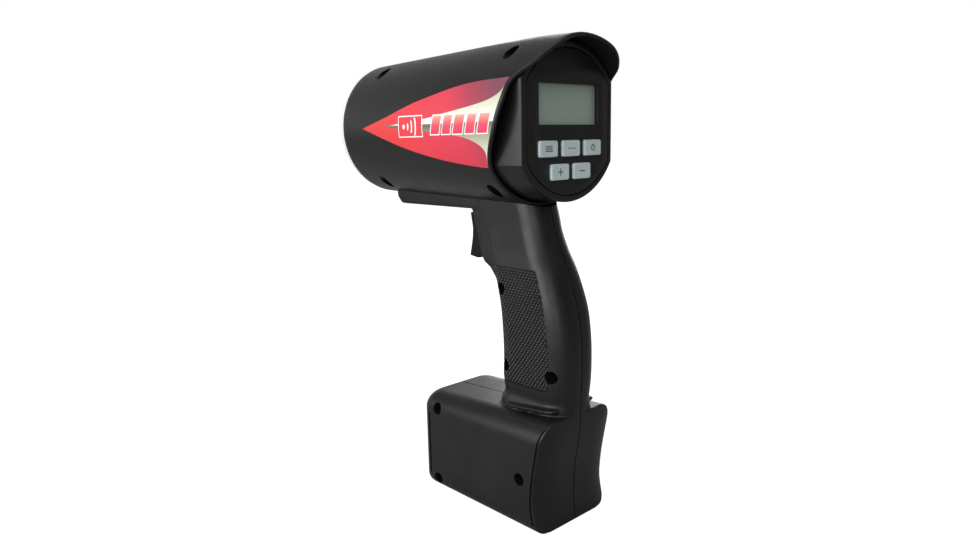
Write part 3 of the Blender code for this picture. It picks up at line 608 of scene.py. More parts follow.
def barrel_section(angle, inset):
    """The wall's section at an angle from the crown, as (radius, y), with its rim and front edge rounded."""
    rim = rim_y(barrel_radius(rim_y(barrel_radius(0.0) * cos(angle))) * cos(angle)) + inset
    front = BARREL_FRONT - inset
    points = []
    for t in map(radians, (90, 60, 30, 0)):
        radius = barrel_radius(front) - inset - FRONT_ROUND * (1 - cos(t))
        points.append((radius, front - FRONT_ROUND * (1 - sin(t))))
    start, end, count = front - FRONT_ROUND, rim + RIM_OUTER_ROUND, 44
    for step in range(1, count):
        y = start + (end - start) * step / count
        points.append((barrel_radius(y) - inset, y))
    for t in map(radians, (0, 22.5, 45, 67.5, 90)):
        y = rim + RIM_OUTER_ROUND * (1 - sin(t))
        points.append((barrel_radius(y) - inset - RIM_OUTER_ROUND * (1 - cos(t)), y))
    inner = barrel_radius(rim) - BARREL_WALL + inset
    for t in map(radians, (0, 45, 90)):
        points.append((inner + RIM_INNER_ROUND * (1 - sin(t)), rim + RIM_INNER_ROUND * (1 - cos(t))))
    start, end, count = rim + RIM_INNER_ROUND, front - 0.0003, 16
    for step in range(1, count + 1):
        y = start + (end - start) * step / count
        points.append((barrel_radius(y) - BARREL_WALL + inset, y))
    return points


def make_barrel():
    """Two halves with screw pillars. Only the left one has recesses, for the heads of the screws."""
    even, count = SEAM_EDGES[-1][0], 150
    angles = [*SEAM_EDGES, *((even + (pi - 2 * even) * i / count, 0.0) for i in range(1, count))]
    angles += [(pi - angle, inset) for angle, inset in reversed(SEAM_EDGES)]
    for side, sign in SIDES:
        loops = []
        for angle, inset in angles:
            section = barrel_section(angle, inset)
            loops.append([(sign * r * sin(angle), y, r * cos(angle)) for r, y in section])
        shell = loft(f"barrel_{side}_moulding", loops)
        core = turned("core", ((0, 0.18), (0.0455, 0.18), (0.0492, 0.018), (0.0488, -0.03), (0, -0.03)), 64)
        pillars = solids("pillars", rods(BARREL_SCREWS, sign * 0.002, sign * 0.05, PILLAR_RADIUS))
        boolean(shell, boolean(pillars, core, "INTERSECT"), "UNION")
        if sign < 0:
            carve(shell, screw_holes(BARREL_SCREWS, -0.06, 0.01))
        else:
            carve(shell, rods(BARREL_SCREWS, -0.01, 0.013, BORE_RADIUS, 16))
        show(smooth(shell, 38), SEAM_SHADED_SHELL_BLACK, replaces=[f"barrel_{side}_shell"])


# ------------------------------------------------------------------ label

# Edges of the label and of the wedge in it, as (y, z) from the tip to the rear
TIP = (0.1491, 0.0)
LABEL_TOP = (
    TIP, (0.1219, 0.0064), (0.0949, 0.0138), (0.0753, 0.0182), (0.0539, 0.0226), (0.0374, 0.0245),
    (0.0209, 0.025), (0.004, 0.0252),
)
LABEL_BOTTOM = (TIP, (0.11, -0.0115), (0.0851, -0.0177), (0.062, -0.0223), (0.0397, -0.0251), (0.0241, -0.0256))
WEDGE_TOP = (
    (0.1248, 0.0003), (0.107, 0.0019), (0.077, 0.0045), (0.0583, 0.0072), (0.0342, 0.011), (0.0217, 0.0139),
    (0.0122, 0.0175), (0.0046, 0.0214),
)
WEDGE_BOTTOM = (
    (0.1248, 0.0003), (0.099, -0.0012), (0.0748, -0.0034), (0.055, -0.0059), (0.0436, -0.0083),
    (0.0333, -0.0128), (0.0264, -0.0179), (0.0238, -0.0232),
)
# How far the layers of print stand off the barrel, and how thick each is
FILM_LIFT, WEDGE_LIFT, EDGE_LIFT, BADGE_LIFT, MARK_LIFT = 0.00004, 0.00007, 0.00011, 0.00014, 0.00017
FILM_THICKNESS = 0.00008
LABEL_REAR_GAP = 0.0021
# The badge's dot: its middle as (y, z)
DOT = (0.099, 0.0)
BAR_LEAN, BAR_EDGE = 0.28, 0.0007


def sheet_on_barrel(name, sign, grid_of, columns, rows, lift, wrap=False):
    """A thin film whose (y, z) points come from grid_of(column, row)."""
    grids = []
    for level in (lift, lift - FILM_THICKNESS):
        grid = []
        for i in range(columns + (not wrap)):
            places = [grid_of(i, j) for j in range(rows + 1)]
            grid.append([(sign * sqrt((barrel_radius(y) + level) ** 2 - z**2), y, z) for y, z in places])
        grids.append(grid)
    return closed_sheet(name, *grids, 40, wrap)


def film(name, sign, top, bottom, lift):
    """A film between two curves of (y, z), ended by a line that follows the hood's rim."""
    read_top, read_bottom = (reader(sorted(line), 10) for line in (top, bottom))
    front, top_rear, bottom_rear = top[0][0], top[-1][0], bottom[-1][0]
    columns, rows = 90, 14

    def place(i, j):
        t, v = i / columns, j / rows
        y = front + (top_rear * (1 - v) + bottom_rear * v - front) * t
        z = read_top(front + (top_rear - front) * t) * (1 - v) + read_bottom(front + (bottom_rear - front) * t) * v
        return y + (rim_y(z) + LABEL_REAR_GAP - y) * t**6, z

    return sheet_on_barrel(name, sign, place, columns, rows, lift)


def patch(name, sign, box, lift, lean=0.0):
    """A film with straight sides, its upper edge leaning to the front by lean times its height."""
    low_y, high_y, low_z, high_z = box

    def place(i, j):
        z = low_z + (high_z - low_z) * j / 8
        return low_y + (high_y - low_y) * i / 10 - lean * z, z

    return sheet_on_barrel(name, sign, place, 10, 8, lift)


def arc_film(name, sign, inner, outer, reach):
    """Part of a ring round the badge's dot that opens to the rear: reach degrees to each side, or 180 for all."""
    steps = 40

    def place(i, j):
        turn = pi + radians(2 * reach) * (i / steps - 0.5)
        radius = inner + (outer - inner) * j / 3
        return DOT[0] + radius * cos(turn), DOT[1] + radius * sin(turn)

    return sheet_on_barrel(name, sign, place, steps, 3, MARK_LIFT, reach == 180)


def make_label():
    for side, sign in SIDES:
        start = f"label_{side}_"
        pieces = [
            (film(start + "upper", sign, LABEL_TOP, (TIP, *WEDGE_TOP), FILM_LIFT), RED),
            (film(start + "lower", sign, (TIP, *WEDGE_BOTTOM), LABEL_BOTTOM, FILM_LIFT), RED),
            (film(start + "wedge", sign, WEDGE_TOP, WEDGE_BOTTOM, WEDGE_LIFT), SILVER),
            (patch(start + "badge_edge", sign, (0.079, 0.1053, -0.0068, 0.007), EDGE_LIFT), WHITE),
            (patch(start + "badge", sign, (0.0797, 0.1046, -0.0061, 0.0063), BADGE_LIFT), RED),
            (arc_film(start + "badge_dot", sign, 0.0002, 0.0015, 180), WHITE),
        ]
        for number in range(3):
            radius = 0.004 + number * 0.0041
            wave = arc_film(f"{start}badge_wave_{number + 1}", sign, radius, radius + 0.0013, 26)
            pieces.append((wave, WHITE))
        for number, wide in enumerate((0.0084, 0.0078, 0.0088, 0.0078, 0.0084)):
            y = 0.0652 - number * 0.0111
            low_y, high_y, low_z, high_z = box = (y - wide / 2, y + wide / 2, -0.0052, 0.006)
            edge = (low_y - BAR_EDGE, high_y + BAR_EDGE, low_z - BAR_EDGE, high_z + BAR_EDGE)
            pieces.append((patch(f"{start}bar_edge_{number + 1}", sign, edge, EDGE_LIFT, BAR_LEAN), WHITE))
            pieces.append((patch(f"{start}bar_{number + 1}", sign, box, BADGE_LIFT, BAR_LEAN), BAR))
        for piece, look in pieces:
            show(piece, look)


# ------------------------------------------------------------------ display end


def flat_sided(radius, flat, steps=40):
    """A circle cut by two upright flats, as (x, z)."""
    start = atan2(sqrt(radius**2 - flat**2), flat)
    turns = [start + (pi - 2 * start) * i / steps for i in range(steps + 1)]
    upper = [(radius * cos(t), radius * sin(t)) for t in turns]
    return upper + [(-x, -z) for x, z in upper]


def make_housing():
    """The bezel that holds the display's face: a rounded edge, an inner lip and a notch under the hood."""
    turns = [radians(22.5 * i) for i in range(5)]
    edge = [(0.0015 * (1 - cos(t)), 0.0015 * (1 - sin(t))) for t in turns]
    lip = [(0.0034 + 0.0005 * sin(t), 0.0005 * (1 - cos(t))) for t in turns[::2]]
    # (offset inwards, y)
    profile = [(0.0, 0.0255), *edge, *lip, (0.0039, 0.0028), (0.0062, 0.0028), (0.0062, 0.0045)]
    profile += [(0.0024, 0.0045), (0.0024, 0.026), (0.0003, 0.026)]
    loops = [at_y(flat_sided(HOUSING_RADIUS - offset, HOUSING_FLAT - offset), y) for offset, y in profile]
    housing = loft("display_housing_moulding", loops, False, 24)
    carve(housing, [((-0.05, 0.0118, 0.0348), (0.05, 0.05, 0.06))])
    show(smooth(housing, 24), BLACK, replaces=["rear_housing"])


def key_places():
    """(name, x, z) of each key."""
    places = []
    for name in ("upper_left", "upper_middle", "upper_right", "lower_left", "lower_right"):
        low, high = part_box("key_" + name)
        centre = (low + high) / 2 - ORIGIN
        places.append(("key_" + name, centre.x, centre.z))
    return places


def rounded_box(bm, outline, y_low, y_high):
    bridge(bm, [at_y(outline, y) for y in (y_low, y_high)])


def make_face_plate():
    outline = flat_sided(PLATE_RADIUS, PLATE_FLAT)
    plate = loft("face_plate_moulding", [at_y(outline, y) for y in (0.0, PLATE_BACK)])
    gap = 0.0003
    bm = bmesh.new()
    rounded_box(bm, rounded_outline(*WINDOW, 0.0006, 3), -0.01, 0.01)
    for _, x, z in key_places():
        rounded_box(bm, rounded_outline(x, z, KEY_HALF_X + gap, KEY_HALF_Z + gap, 0.0016), -0.01, 0.01)
    boolean(plate, mesh_of("openings", bm))
    show(smooth(bevelled(plate, 0.00028, 2, 60), 35), PLATE_BLACK, replaces=["face_plate"])


# A generic mark on each key: (kind, x, z, size), from the key's middle
KEY_MARKS = {
    "key_upper_left": [("bar", 0.0, z, 0.0062) for z in (0.0013, 0.0, -0.0013)],
    "key_upper_middle": [("bar", x, 0.0, 0.0015) for x in (-0.0024, 0.0, 0.0024)],
    "key_upper_right": [("ring", 0.0, 0.0, 0.0019), ("post", 0.0, 0.0016, 0.0016)],
    "key_lower_left": [("bar", 0.0, 0.0, 0.0046), ("post", 0.0, 0.0, 0.0046)],
    "key_lower_right": [("bar", 0.0, 0.0, 0.005)],
}
# A key's side and slightly dished top: (offset inwards, how far under its rim)
KEY_PROFILE = (
    (0.0, 0.0045), (0.0, 0.0007), (0.0001, 0.0004), (0.0003, 0.00015), (0.0006, 0.00003), (0.0012, 0.0),
    (0.0022, 0.00008), (0.0034, 0.00014),
)
STROKE_HALF, STROKE_ROUND = 0.00036, 0.0003


def make_keys():
    """Soft keys with rounded corners and a slightly dished top, each with a small generic mark."""
    for name, x, z in key_places():
        loops = []
        for inset, depth in KEY_PROFILE:
            radius = max(0.0014 - inset * 0.5, 0.0004)
            loops.append(at_y(rounded_outline(x, z, KEY_HALF_X - inset, KEY_HALF_Z - inset, radius), KEY_TOP + depth))
        key = loft(name + "_cap", loops)
        reach_x, reach_z = KEY_HALF_X + 0.001, KEY_HALF_Z + 0.001
        carve(key, [((x - reach_x, 0.0028, z - reach_z), (x + reach_x, 0.0036, z + reach_z))], "UNION")
        show(smooth(key, 40), KEY_PLASTIC, body=name, replaces=[name])
        bm = bmesh.new()
        low, high = KEY_TOP + 0.00006, KEY_TOP + 0.0004
        for kind, dx, dz, size in KEY_MARKS[name]:
            middle = (x + dx, z + dz)
            if kind == "bar":
                rounded_box(bm, rounded_outline(*middle, size / 2, STROKE_HALF, STROKE_ROUND, 3), low, high)
            elif kind == "post":
                rounded_box(bm, rounded_outline(*middle, STROKE_HALF, size / 2, STROKE_ROUND, 3), low - 0.00001, high)
            else:
                inner = size - 0.00065
                rings = []
                for radius, y in ((size, low), (size, high), (inner, high), (inner, low)):
                    circle = [(middle[0] + radius * cos(t), middle[1] + radius * sin(t)) for t in around(24)]
                    rings.append(at_y(circle, y))
                bridge(bm, rings, False)
        show(mesh_of(name + "_mark", bm, 30), INK, body=name)


def make_display():
    corners = [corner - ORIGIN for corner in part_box("display_window")]
    window = bevelled(solids("display_window_pane", [corners]), 0.0002)
    show(window, DISPLAY, replaces=["display_window"])


def make_lens():
    """The thin domed cover over the barrel's front, with a spigot that goes into the barrel."""
    seat = BARREL_FRONT + 0.0003
    edge, radius, inner, wall = seat + 0.004, 0.0455, 0.0405, 0.0024
    rise = 0.1829 - edge
    dome = [(radius * sin(t), edge + rise * cos(t)) for t in map(radians, (0, 8, 16, 24, 32, 40, 50, 60, 68, 76, 82))]
    rim = [(radius, edge - 0.0004), (radius + 0.0001, edge - 0.0012), (radius + 0.0001, seat + 0.0006)]
    rim.append((radius - 0.0003, seat))
    spigot = [(0.043, seat), (0.043, seat - 0.0055), (0.0426, seat - 0.006), (0.0406, seat - 0.006)]
    inside = [(inner * sin(t), edge - wall + rise * cos(t)) for t in map(radians, (90, 75, 60, 45, 30, 15, 0))]
    lens = turned("front_cover_dome", [*dome, *rim, *spigot, *inside], 128, 32)
    show(lens, LENS_PLASTIC, replaces=["front_lens"])


# ------------------------------------------------------------------ handle

# Grip sections: (z, front y, rear y, half width, front corner, rear corner)
GRIP = (
    (-0.042, 0.069, 0.019, 0.0157, 0.003, 0.014),
    (-0.056, 0.0665, 0.0145, 0.0156, 0.0035, 0.0142),
    (-0.066, 0.0622, 0.0116, 0.0156, 0.004, 0.0148),
    (-0.078, 0.0577, 0.0066, 0.0162, 0.005, 0.0155),
    (-0.09, 0.0545, 0.0008, 0.0175, 0.008, 0.0157),
    (-0.105, 0.052, -0.0043, 0.0187, 0.012, 0.0152),
    (-0.118, 0.0503, -0.0079, 0.019, 0.014, 0.015),
    (-0.135, 0.0488, -0.01, 0.019, 0.014, 0.015),
    (-0.15, 0.0484, -0.0103, 0.019, 0.014, 0.015),
    (-0.16, 0.0486, -0.0099, 0.019, 0.0135, 0.015),
    (-0.168, 0.0485, -0.0095, 0.0184, 0.013, 0.015),
    (-0.1735, 0.0482, -0.0093, 0.0177, 0.0125, 0.015),
    (-0.18, 0.0502, -0.009, 0.019, 0.012, 0.015),
    (-0.196, 0.0508, -0.007, 0.0198, 0.012, 0.015),
)
HANDLE_WALL = 0.0026
BASE_HALF, BASE_FRONT, BASE_TOP, BASE_BOTTOM = 0.0337, 0.1125, -0.186, FLOOR_Z - ORIGIN.z
BASE_SHOULDER, BASE_FOOT, BASE_CORNER = 0.012, 0.0075, 0.01
# How far the base's top rises to the rear, and how much of that is missing at its sides
BASE_RISE, SIDE_LOSS = 0.007, 0.35
# Back of the base: (z, y at its side edges, y at the seam), and how sharply it turns in at its edges
BACK = (
    (-0.2555, -0.0015, -0.0044),
    (-0.248, 0.0002, -0.004),
    (-0.2424, 0.0014, -0.0037),
    (-0.2355, 0.0022, -0.0035),
    (-0.2278, 0.0017, -0.0037),
    (-0.2185, 0.0005, -0.0043),
    (-0.2075, -0.0015, -0.006),
    (-0.1966, -0.0037, -0.0077),
    (-0.189, -0.0052, -0.0087),
    (-0.18, -0.0062, -0.0091),
    (-0.17, -0.0066, -0.0093),
)
BACK_CURVE = 4.5
# Ridge round the foot of the grip: (y, z) of its line, and (how proud, how far over the line) round its section
RIDGE = (
    (-0.0097, -0.1768), (-0.0028, -0.1769), (0.0064, -0.1779), (0.022, -0.18), (0.032, -0.1805),
    (0.043, -0.1795),
)
RIDGE_SECTION = (
    (-0.003, 0.0026), (0.0002, 0.0014), (0.0018, 0.0009), (0.0025, 0.0), (0.0022, -0.0009),
    (0.0008, -0.0016), (-0.003, -0.0016),
)
# Plan of the grip's foot: y of its front and rear, half its width, and the radii of its front and rear corners
FOOT_FRONT, FOOT_REAR, FOOT_HALF, FOOT_CORNERS = 0.0405, -0.0093, 0.0191, (0.008, 0.015)
# How far the middle of a groove's round cutter lies under the skin, and the radii of the two cutters
GROOVE_SINK, CREASE_RADIUS, SLOT_RADIUS = 0.0005, 0.001, 0.0011
# Side views as (y, z): the spine under the barrel, the nose over the trigger, and the trigger
SPINE = (
    (0.156, -0.04), (0.156, -0.0478), (0.1552, -0.05), (0.1512, -0.054), (0.149, -0.0545),
    (0.035, -0.0545), (0.035, -0.04),
)
NOSE = (
    (0.084, -0.05), (0.0795, -0.0545), (0.0772, -0.06), (0.0748, -0.068), (0.07, -0.0865),
    (0.0677, -0.0905), (0.0617, -0.094), (0.057, -0.1), (0.053, -0.108), (0.03, -0.108),
    (0.03, -0.05),
)
TRIGGER = (
    (0.07, -0.0565), (0.0822, -0.0578), (0.083, -0.06), (0.0816, -0.068), (0.0822, -0.076),
    (0.0842, -0.085), (0.0846, -0.0872), (0.0836, -0.088), (0.0735, -0.0884), (0.069, -0.08),
    (0.0655, -0.064), (0.0653, -0.06), (0.0662, -0.0575), (0.0678, -0.0565),
)
TRIGGER_PIN = ((0.069, -0.06),)
PIN_RADIUS = 0.0021
side_edge, seam_edge = reader([(z, y) for z, y, _ in BACK]), reader([(z, y) for z, _, y in BACK])
ridge_z = reader(RIDGE)


def plan_ring(z, front, rear, half, front_corner, rear_corner, steps):
    """Points of a rounded rectangle at height z, anticlockwise seen from above."""
    ring = []
    for sx, y, sy, radius, start in (
        (1, front, 1, front_corner, 0),
        (-1, front, 1, front_corner, 90),
        (-1, rear, -1, rear_corner, 180),
        (1, rear, -1, rear_corner, 270),
    ):
        ring += rounded_corner(sx * (half - radius), y - sy * radius, radius, start, steps)
    return [(x, y, z) for x, y in ring]


def grip_rings(inset, per_span, steps):
    rings = []
    for z, front, rear, half, front_corner, rear_corner in curve_through(GRIP, per_span):
        corners = max(front_corner - inset, 0.001), max(min(rear_corner, half - 0.0002) - inset, 0.001)
        rings.append(plan_ring(z, front - inset, rear + inset, half - inset, *corners, steps))
    return rings


def base_rings(inset, steps, corner_steps, rear, rear_corner=BASE_CORNER):
    """The battery box: round upright corners, round shoulders and foot, its top rising a little to the rear."""
    shoulder, foot = BASE_SHOULDER - inset, max(BASE_FOOT - inset, 0.001)
    turns = [radians(90 * i / steps) for i in range(steps + 1)]
    levels = [(BASE_TOP - inset - shoulder * (1 - cos(a)), shoulder * (1 - sin(a))) for a in turns]
    levels += [(BASE_BOTTOM + inset + foot * (1 - sin(a)), foot * (1 - cos(a))) for a in turns]
    rings = []
    for z, tuck in levels:
        corner = max(BASE_CORNER - inset - tuck * 0.3, 0.002)
        front, half = BASE_FRONT - inset - tuck * 0.7, BASE_HALF - inset - tuck
        lifted = []
        for x, y, height in plan_ring(z, front, rear + inset, half, corner, min(corner, rear_corner), corner_steps):
            upper = min(max((height + 0.222) / 0.036, 0.0), 1.0)
            rise = BASE_RISE * (1 - SIDE_LOSS * (x / BASE_HALF) ** 2) * eased((0.06 - y) / 0.062)
            lifted.append((x, y, height + rise * upper))
        rings.append(lifted)
    return rings


def back_y(x, z):
    """Where the hollow-curved back of the base is at a place across it."""
    return seam_edge(z) + (side_edge(z) - seam_edge(z)) * (abs(x) / BASE_HALF) ** BACK_CURVE


def back_room():
    """Everything in front of the base's back."""
    steps, front = 60, 0.3
    xs, zs = ([low + span * i / steps for i in range(steps + 1)] for low, span in ((-0.04, 0.08), (-0.26, 0.1)))
    near = [[(x, back_y(x, z), z) for x in xs] for z in zs]
    return closed_sheet("back_room", near, [[(x, front, z) for x in xs] for z in zs])


def flange_rings():
    """A thin ridge that stands out round the foot of the grip, rises to the rear and dies away into its back."""
    rings = []
    front_corner, rear_corner = FOOT_CORNERS
    for proud, over in RIDGE_SECTION:
        plan = (FOOT_FRONT + proud, FOOT_REAR - proud, FOOT_HALF + proud, front_corner + proud, rear_corner)
        faded = []
        for x, y, _ in plan_ring(0.0, *plan, 16):
            fade = min(max((-0.001 - y) / 0.0075, 0.0), 1.0) ** 2
            faded.append((x * (1 - 0.05 * fade), y + 0.0048 * fade, ridge_z(y) + over))
        rings.append(faded)
    return rings


def tube(name, points, radius, sides=10):
    """A closed tube along a line of points."""
    loops = []
    for before, point, after in zip([points[0], *points], points, [*points[1:], points[-1]]):
        along = (Vector(after) - Vector(before)).normalized()
        side = along.cross(Vector((0.3, 1, 0.1))).normalized()
        other = along.cross(side)
        loops.append([Vector(point) + radius * (side * cos(t) + other * sin(t)) for t in around(sides)])
    return loft(name, loops)


def handle_skin():
    """The outside of the whole handle as one even skin over all its parts, with its edges softened."""
    base = loft("base", base_rings(0.0, 10, 12, -0.02, 0.001))
    parts = (
        bevelled(prism("spine", SPINE, 0.0155), 0.0016, 3),
        bevelled(prism("nose", NOSE, 0.0105), 0.0022, 3),
        loft("grip", grip_rings(0.0, 6, 14)),
        boolean(base, back_room(), "INTERSECT"),
        loft("flange", flange_rings()),
    )
    bm = bmesh.new()
    for part in parts:
        bm.from_mesh(part.data)
        bpy.data.objects.remove(part)
    skin = object_of("handle_skin", bm)
    modified(skin, "REMESH", mode="VOXEL", voxel_size=HANDLE_VOXEL, use_smooth_shade=True)
    modified(skin, "SMOOTH", factor=0.5, iterations=4)
    skin.data.shade_smooth()
    return skin


def on_skin(skin, start, direction):
    """A place just under where a ray from start meets the skin."""
    hit, place, _, _ = skin.ray_cast(world(start), Vector(direction))
    return place - ORIGIN + GROOVE_SINK * Vector(direction) if hit else Vector(start)


def add_grooves(hollow, skin):
    """On each side, the crease between the base's side and its back, and the slot near its front."""
    for sign in (-1, 1):
        inward = (-sign, 0, 0)
        levels = [-0.249 + 0.055 * i / 22 for i in range(22)]
        crease = [on_skin(skin, (sign * 0.06, side_edge(z) + 0.0015, z), inward) for z in levels]
        for turn in map(radians, range(0, 56, 8)):
            x, z = 0.0217 + 0.012 * cos(turn), -0.193 + 0.012 * sin(turn)
            start = (sign * (x + 0.03 * cos(turn)), back_y(x, z) + 0.0015, z + 0.03 * sin(turn))
            crease.append(on_skin(skin, start, (-sign * cos(turn), 0, -sin(turn))))
        slot = [on_skin(skin, (sign * 0.06, 0.103, z), inward) for z in (-0.2, -0.215, -0.23, -0.246)]
        for line, radius in ((crease, CREASE_RADIUS), (slot, SLOT_RADIUS)):
            boolean(hollow, tube("groove", line, radius), "UNION")


def handle_hollow(skin):
    """Everything that is cut out of the skin: the cavity round its screw pillars, openings, recesses and grooves."""
    roof = ((-0.02, -0.02, -0.0545), (0.02, 0.038, -0.03))
    channel = ((-0.0125, 0.08, -0.052), (0.0125, 0.15, -0.03))
    trigger_pocket = ((-0.0075, 0.052, -0.09), (0.0075, 0.09, -0.0556))
    wire_hole = ((0, 0.045, -0.06), (0, 0.045, -0.04), 0.006, 24)
    screws = GRIP_SCREWS + BASE_SCREWS
    hollow = carve(loft("hollow", grip_rings(HANDLE_WALL, 2, 6)), [roof])
    boolean(hollow, loft("base_inside", base_rings(HANDLE_WALL, 4, 5, 0.005)), "UNION")
    carve(hollow, rods(screws, -0.04, 0.04, PILLAR_RADIUS))
    carve(hollow, [channel], "UNION")
    lengths = [0.018 + 0.167 * i / 24 for i in range(24, -1, -1)] + [-0.03]
    room = turned("room", [(0, 0.185), *((barrel_radius(y) + 0.00005, y) for y in lengths), (0, -0.03)], 192)
    boolean(hollow, room, "UNION")
    carve(hollow, [trigger_pocket], "UNION")
    pin_hole = rods(TRIGGER_PIN, -0.0092, 0.0092, PIN_RADIUS, 24)
    carve(hollow, [*pin_hole, wire_hole, *screw_holes(screws, -0.05, 0.013)], "UNION")
    add_grooves(hollow, skin)
    for sign in (-1, 1):
        boolean(hollow, panel_solid("inset", sign, 60, 80, lambda *_: 0.0015, -PANEL_DEPTH), "UNION")
    return hollow


def half_of(solid, name, sign):
    """One side of a solid, with its edge along the seam turned in a little."""
    bm = bmesh.new()
    bm.from_mesh(solid.data)
    geometry = bm.verts[:] + bm.edges[:] + bm.faces[:]
    cut = bmesh.ops.bisect_plane(
        bm, geom=geometry, dist=0.00001, plane_co=(0, 0, 0), plane_no=(sign, 0, 0), clear_inner=True
    )
    edges = [part for part in cut["geom_cut"] if isinstance(part, bmesh.types.BMEdge)]
    bm.normal_update()
    moves = []
    for vert in {vert for edge in edges for vert in edge.verts}:
        outward = Vector((0, vert.normal.y, vert.normal.z))
        if outward.length > 0.3:
            moves.append((vert, outward.normalized() * -0.00075))
    for vert, move in moves:
        vert.co += move
    bmesh.ops.triangle_fill(bm, edges=edges, use_beauty=True)
    bmesh.ops.recalc_face_normals(bm, faces=bm.faces)
    return smooth(object_of(name, bm), 40)


def make_handle():
    skin = handle_skin()
    bpy.context.view_layer.update()
    boolean(skin, handle_hollow(skin))
    for side, sign in SIDES:
        show(half_of(skin, f"handle_{side}_moulding", sign), SEAM_SHADED_SHELL_BLACK, replaces=[f"handle_{side}_shell"])
    bpy.data.objects.remove(skin)


# Rear edge of the knurled panel: (z, y), then its ends, the radii of its rear corners, the x of its front edge,
# and how deep it is let in
PANEL_REAR = (
    (-0.166, 0.001), (-0.1605, 0.0004), (-0.1426, 0.0008), (-0.1245, 0.0036), (-0.107, 0.0065),
    (-0.09, 0.0125), (-0.089, 0.013),
)
PANEL_TOP, PANEL_BOTTOM = -0.089, -0.166
PANEL_LOWER_ROUND, PANEL_UPPER_ROUND = 0.0055, 0.0025
PANEL_START_X = 0.005
PANEL_DEPTH = 0.0007
# Knurling: ridges to a metre round the grip and up it, how much of each crest is cut flat, and its heights
KNURL_ROUND, KNURL_UP = 360, 280
KNURL_FLOOR, KNURL_HEIGHT, KNURL_BORDER = -PANEL_DEPTH + 0.00008, 0.00078, 0.0007
rear_edge = reader(PANEL_REAR, 6)
grip_front, grip_half, grip_corner = (reader([(row[0], row[i]) for row in reversed(GRIP)], 6) for i in (1, 3, 4))


def panel_width(z):
    """Distance round the section at height z from the panel's front edge to its rear edge, with rounded corners."""
    front, half, corner = grip_front(z), grip_half(z), grip_corner(z)
    whole = (half - corner - PANEL_START_X) + corner * pi / 2 + (front - corner) - rear_edge(z)
    for radius, to_end in ((PANEL_LOWER_ROUND, z - PANEL_BOTTOM), (PANEL_UPPER_ROUND, PANEL_TOP - z)):
        over = max(radius - to_end, 0.0)
        whole -= radius - sqrt(max(radius**2 - over**2, 0.0))
    return whole


def on_grip(distance, z, lift):
    """(x, y) at a distance round the grip's right side from the panel's front edge, standing off by lift."""
    front, half, corner = grip_front(z), grip_half(z), grip_corner(z)
    flat = half - corner - PANEL_START_X
    if distance < flat:
        return PANEL_START_X + distance, front + lift
    distance -= flat
    turn = distance / corner
    if turn < pi / 2:
        return half - corner + (corner + lift) * sin(turn), front - corner + (corner + lift) * cos(turn)
    return half + lift, front - corner - (distance - corner * pi / 2)


def panel_solid(name, sign, columns, rows, top_of, under):
    """A closed sheet over the panel's area: its outside stands off the grip by top_of(distance, z, border)."""
    grids = ([], [])
    for row in range(rows + 1):
        z = PANEL_BOTTOM + (PANEL_TOP - PANEL_BOTTOM) * row / rows
        end = panel_width(z)
        lines = ([], [])
        for column in range(columns + 1):
            distance = end * column / columns
            border = min(distance, end - distance, z - PANEL_BOTTOM, PANEL_TOP - z)
            for line, lift in zip(lines, (top_of(distance, z, border), under)):
                x, y = on_grip(distance, z, lift)
                line.append((sign * x, y, z))
        for grid, line in zip(grids, lines):
            grid.append(line)
    return closed_sheet(name, *grids, 50)


def knurl(distance, z, border):
    """Height of diamond knurling, its rising family of grooves the deeper, inside a plain border groove."""
    if border < KNURL_BORDER:
        return KNURL_FLOOR
    first, second = (abs((KNURL_ROUND * distance + way * KNURL_UP * z) % 1.0 - 0.5) * 2 for way in (-1, 1))
    height = min(min(1.0 - first, 0.86) / 0.86, min(1.0 - second + 0.04, 0.78) / 0.78)
    return KNURL_FLOOR + KNURL_HEIGHT * height


def make_grip_panels():
    """Diamond knurling let into the sides of the grip and round to its front."""
    rows, columns = int((PANEL_TOP - PANEL_BOTTOM) / KNURL_GRID), int(0.062 / KNURL_GRID)
    for side, sign in SIDES:
        panel = panel_solid(f"grip_panel_{side}", sign, columns, rows, knurl, -PANEL_DEPTH - 0.0006)
        if sign < 0:
            smooth(carve(panel, rods(GRIP_SCREWS, HEAD_FACE, -0.05, RECESS_RADIUS + 0.00005)), 50)
        show(panel, KNURL_SHADED_BLACK)


def make_trigger():
    """The trigger, with well rounded sides, three low finger grooves, its pin's bore and room for its spring."""
    trigger = bevelled(prism("trigger_blade", curve_through(TRIGGER, 3), 0.0068), 0.0011, 3, 50)
    grooves = ((0.0831, -0.068), (0.0833, -0.0735), (0.0847, -0.079))
    carve(trigger, rods(grooves, -0.0075, 0.0075, 0.0011, 20))
    carve(trigger, rods(TRIGGER_PIN, -0.01, 0.01, PIN_RADIUS, 24))
    carve(trigger, [((-0.0035, 0.06, -0.066), (0.0035, 0.0745, -0.054))])
    show(smooth(trigger, 35), TRIGGER_BLACK, body="trigger", replaces=["trigger"])


